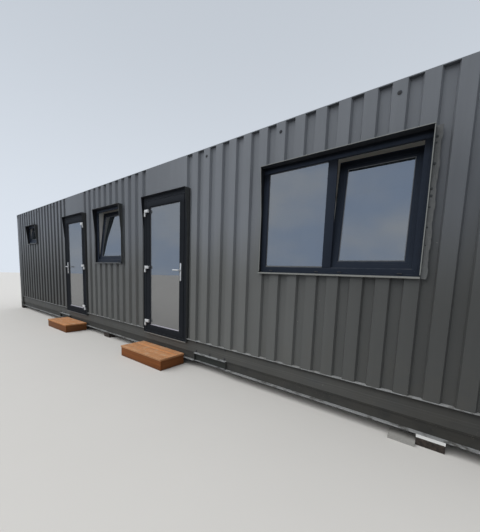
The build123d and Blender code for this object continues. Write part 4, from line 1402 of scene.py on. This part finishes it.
class HOUSE_OT_handles(bpy.types.Operator):
    """Lever handles, back plates, lock cylinders and plate screws"""
    bl_idname = "house.handles"
    bl_label = "Handles"

    def execute(self, context):
        radius = context.scene.house_sizes.grip
        for side, door in DOORS.items():
            plates = Skin()
            levers = Skin()
            locks = Skin()
            for face, outwards in ((DOOR_FACE, -1), (LEAF_BACK, 1)):
                plates.add(*self.back_plate(door["spindle"], face, outwards))
                levers.add(*self.lever(door["spindle"], face, outwards, door["side"], radius))
                locks.add(*self.lock(door["spindle"], face, outwards))
            leaf = f"{side}_door"
            made = plates.piece(f"handle_back_plates_{side}", leaf, "handle_silver", "handle_silver")
            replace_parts(made, f"handle_plates_{side}")
            locks.piece(f"lock_cylinders_{side}", leaf, "handle_silver", "handle_silver")
            made = levers.piece(f"lever_handles_{side}", f"{side}_lever", "handle_silver", "handle_silver")
            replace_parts(made, f"lever_{side}")
        return {"FINISHED"}

    def back_plate(self, x, face, outwards):
        """The plate on one face of the leaf, and its two screws."""
        foot, head = SPINDLE_Z - 0.157, SPINDLE_Z + 0.105
        screw = [(0.0045, outwards * 0.008), (0.0045, outwards * 0.0096), (0.003, outwards * 0.0102)]
        screws = [turned(screw, (x, face, z), Y, 12) for z in (foot + 0.022, head - 0.020)]
        return [plate(x, foot, head, 0.0135, face, face + outwards * PLATE_DEPTH), *screws]

    def lever(self, x, face, outwards, towards, radius):
        """The grip on one face of the leaf, thicker at the spindle and thinner at its end, and its collar."""
        path = grip_path(x, face, outwards, towards)
        size = np.full(len(path), radius)
        size[0] = 1.25 * radius
        size[-1] = 0.75 * radius
        collar = [(0.0135, outwards * 0.001), (0.0135, outwards * 0.006), (0.011, outwards * 0.008)]
        return [tube(path, size), turned(collar, (x, face + outwards * PLATE_DEPTH, SPINDLE_Z), Y, 20)]

    def lock(self, x, face, outwards):
        """The lock cylinder's round head under the lever, and its narrow lower part."""
        head = [(0.0085, outwards * 0.006), (0.0085, outwards * 0.0125), (0.0075, outwards * 0.0135)]
        low, high = sorted((face, face + outwards * 0.0125))
        tail = bar((x - 0.0045, low, SPINDLE_Z - 0.105), (x + 0.0045, high, SPINDLE_Z - 0.082), Z, 0.002)
        return [turned(head, (x, face, SPINDLE_Z - 0.078), Y, 18), tail]


class HOUSE_OT_stage(bpy.types.Operator):
    """Pale floor, backdrop, lights and the camera at the photo's angle"""
    bl_idname = "house.stage"
    bl_label = "Studio"

    def execute(self, context):
        tints = context.scene.house_colours
        self.floor(context, tints)
        self.lamps(context)
        self.world(context, tints)
        self.camera(context)
        context.scene.view_settings.view_transform = "Standard"
        return {"FINISHED"}

    def floor(self, context, tints):
        """A wide level sheet just under the pads."""
        mesh = bpy.data.meshes.new("studio_floor")
        side, level = 60.0, -0.0005
        corners = [(-side, -side, level), (side, -side, level), (side, side, level), (-side, side, level)]
        mesh.from_pydata(corners, [], [(0, 1, 2, 3)])
        mesh.materials.append(studio_floor(tints.floor))
        sheet = bpy.data.objects.new("studio_floor", mesh)
        context.scene.collection.objects.link(sheet)

    def lamp(self, context, name, kind, energy, tint):
        """A lamp that mirrors don't show."""
        made = bpy.data.objects.new(name, bpy.data.lights.new(name, kind))
        made.data.energy = energy
        made.data.color = tint
        made.visible_glossy = False
        context.scene.collection.objects.link(made)
        return made

    def lamps(self, context):
        """One broad soft key, from the front, the left and above, and a soft lamp under the ceiling."""
        key = self.lamp(context, "soft_key", "SUN", 1.5, (1.0, 0.99, 0.97))
        key.data.angle = math.radians(70)
        key.rotation_euler = (math.radians(42), 0.0, math.radians(-35))
        cabin = self.lamp(context, "cabin_light", "AREA", 18.0, (0.87, 0.95, 1.0))
        cabin.data.shape = "RECTANGLE"
        cabin.data.size, cabin.data.size_y = 11.0, 1.8
        cabin.location = (0.0, (FRONT + BACK) / 2, CEILING - 0.033)
        cabin.visible_camera = cabin.visible_transmission = False

    def world(self, context, tints):
        """Even light, a plain pale backdrop for the camera and glass, and a soft clouded one for mirrors."""
        world = bpy.data.worlds.new("studio")
        context.scene.world = world
        f = Finish("studio", world)
        way = f.node("ShaderNodeTexCoord")
        plain = f.mix(f.ramp(f.part(way, Z), 0.0, 0.8), tints.backdrop, toned(tints.backdrop, 0.74))
        flat = f.node("ShaderNodeMapping", sockets={"Vector": way, "Scale": (1.0, 1.0, 2.2)})
        cloud = f.ramp(f.noise(flat, 2.2, 4.0), 0.30, 0.72)
        mirrored = f.mix(cloud, toned(tints.backdrop, 0.66, 0.78, 0.98), tints.backdrop)
        sky = f.mix(f.node("ShaderNodeLightPath", output="Is Glossy Ray"), plain, mirrored)
        light = f.node("ShaderNodeBackground", sockets={"Color": (0.955, 0.975, 1.0, 1.0), "Strength": 0.85})
        shown = f.node("ShaderNodeBackground", sockets={"Color": sky, "Strength": 1.0})
        mix = f.node("ShaderNodeMixShader", sockets={0: f.seen(), 1: light, 2: shown})
        f.node("ShaderNodeOutputWorld", sockets={"Surface": mix}, output=None)

    def camera(self, context):
        """The camera solved from the photo: its place, its three axes, its lens and its vertical shift."""
        lens = bpy.data.cameras.new("camera")
        lens.sensor_width = 36.0
        lens.lens = 17.785
        lens.shift_y = 0.0671
        eye = bpy.data.objects.new("camera", lens)
        context.scene.collection.objects.link(eye)
        right = (0.79732, 0.60256, 0.03470)
        up = (-0.09274, 0.06551, 0.99353)
        behind = (0.59639, -0.79538, 0.10811)
        turn = Matrix((right, up, behind)).transposed().to_4x4()
        turn.translation = (4.955, CREST - 2.590, 1.389)
        eye.matrix_world = turn
        context.scene.camera = eye


PROPERTY_GROUPS = (HouseSizes, HouseColours)
OPERATORS = (
    HOUSE_OT_finishes, HOUSE_OT_window_frames, HOUSE_OT_sashes, HOUSE_OT_door_joinery, HOUSE_OT_casing_lips,
    HOUSE_OT_filler_strips, HOUSE_OT_sealant, HOUSE_OT_vents, HOUSE_OT_pocket_bolts, HOUSE_OT_gaskets,
    HOUSE_OT_glazing_beads, HOUSE_OT_drain_caps, HOUSE_OT_steps, HOUSE_OT_hinges, HOUSE_OT_handles,
    HOUSE_OT_stage,
)


class HOUSE_PT_panel(bpy.types.Panel):
    """Lists the pieces of the house"""
    bl_idname = "HOUSE_PT_panel"
    bl_label = "Container house"
    bl_space_type = "VIEW_3D"
    bl_region_type = "UI"
    bl_category = "House"

    def draw(self, context):
        for operator in OPERATORS:
            self.layout.operator(operator.bl_idname)
        for group in (context.scene.house_sizes, context.scene.house_colours):
            for name in group.bl_rna.properties.keys():
                if name not in ("rna_type", "name"):
                    self.layout.prop(group, name)


def register():
    for kind in (*PROPERTY_GROUPS, *OPERATORS, HOUSE_PT_panel):
        bpy.utils.register_class(kind)
    bpy.types.Scene.house_sizes = bpy.props.PointerProperty(type=HouseSizes)
    bpy.types.Scene.house_colours = bpy.props.PointerProperty(type=HouseColours)


def unregister():
    del bpy.types.Scene.house_colours
    del bpy.types.Scene.house_sizes
    for kind in (HOUSE_PT_panel, *reversed(OPERATORS), *reversed(PROPERTY_GROUPS)):
        bpy.utils.unregister_class(kind)


def main():
    register()
    for operator in OPERATORS:
        group, name = operator.bl_idname.split(".")
        getattr(getattr(bpy.ops, group), name)()


if __name__ == "__main__":
    main()
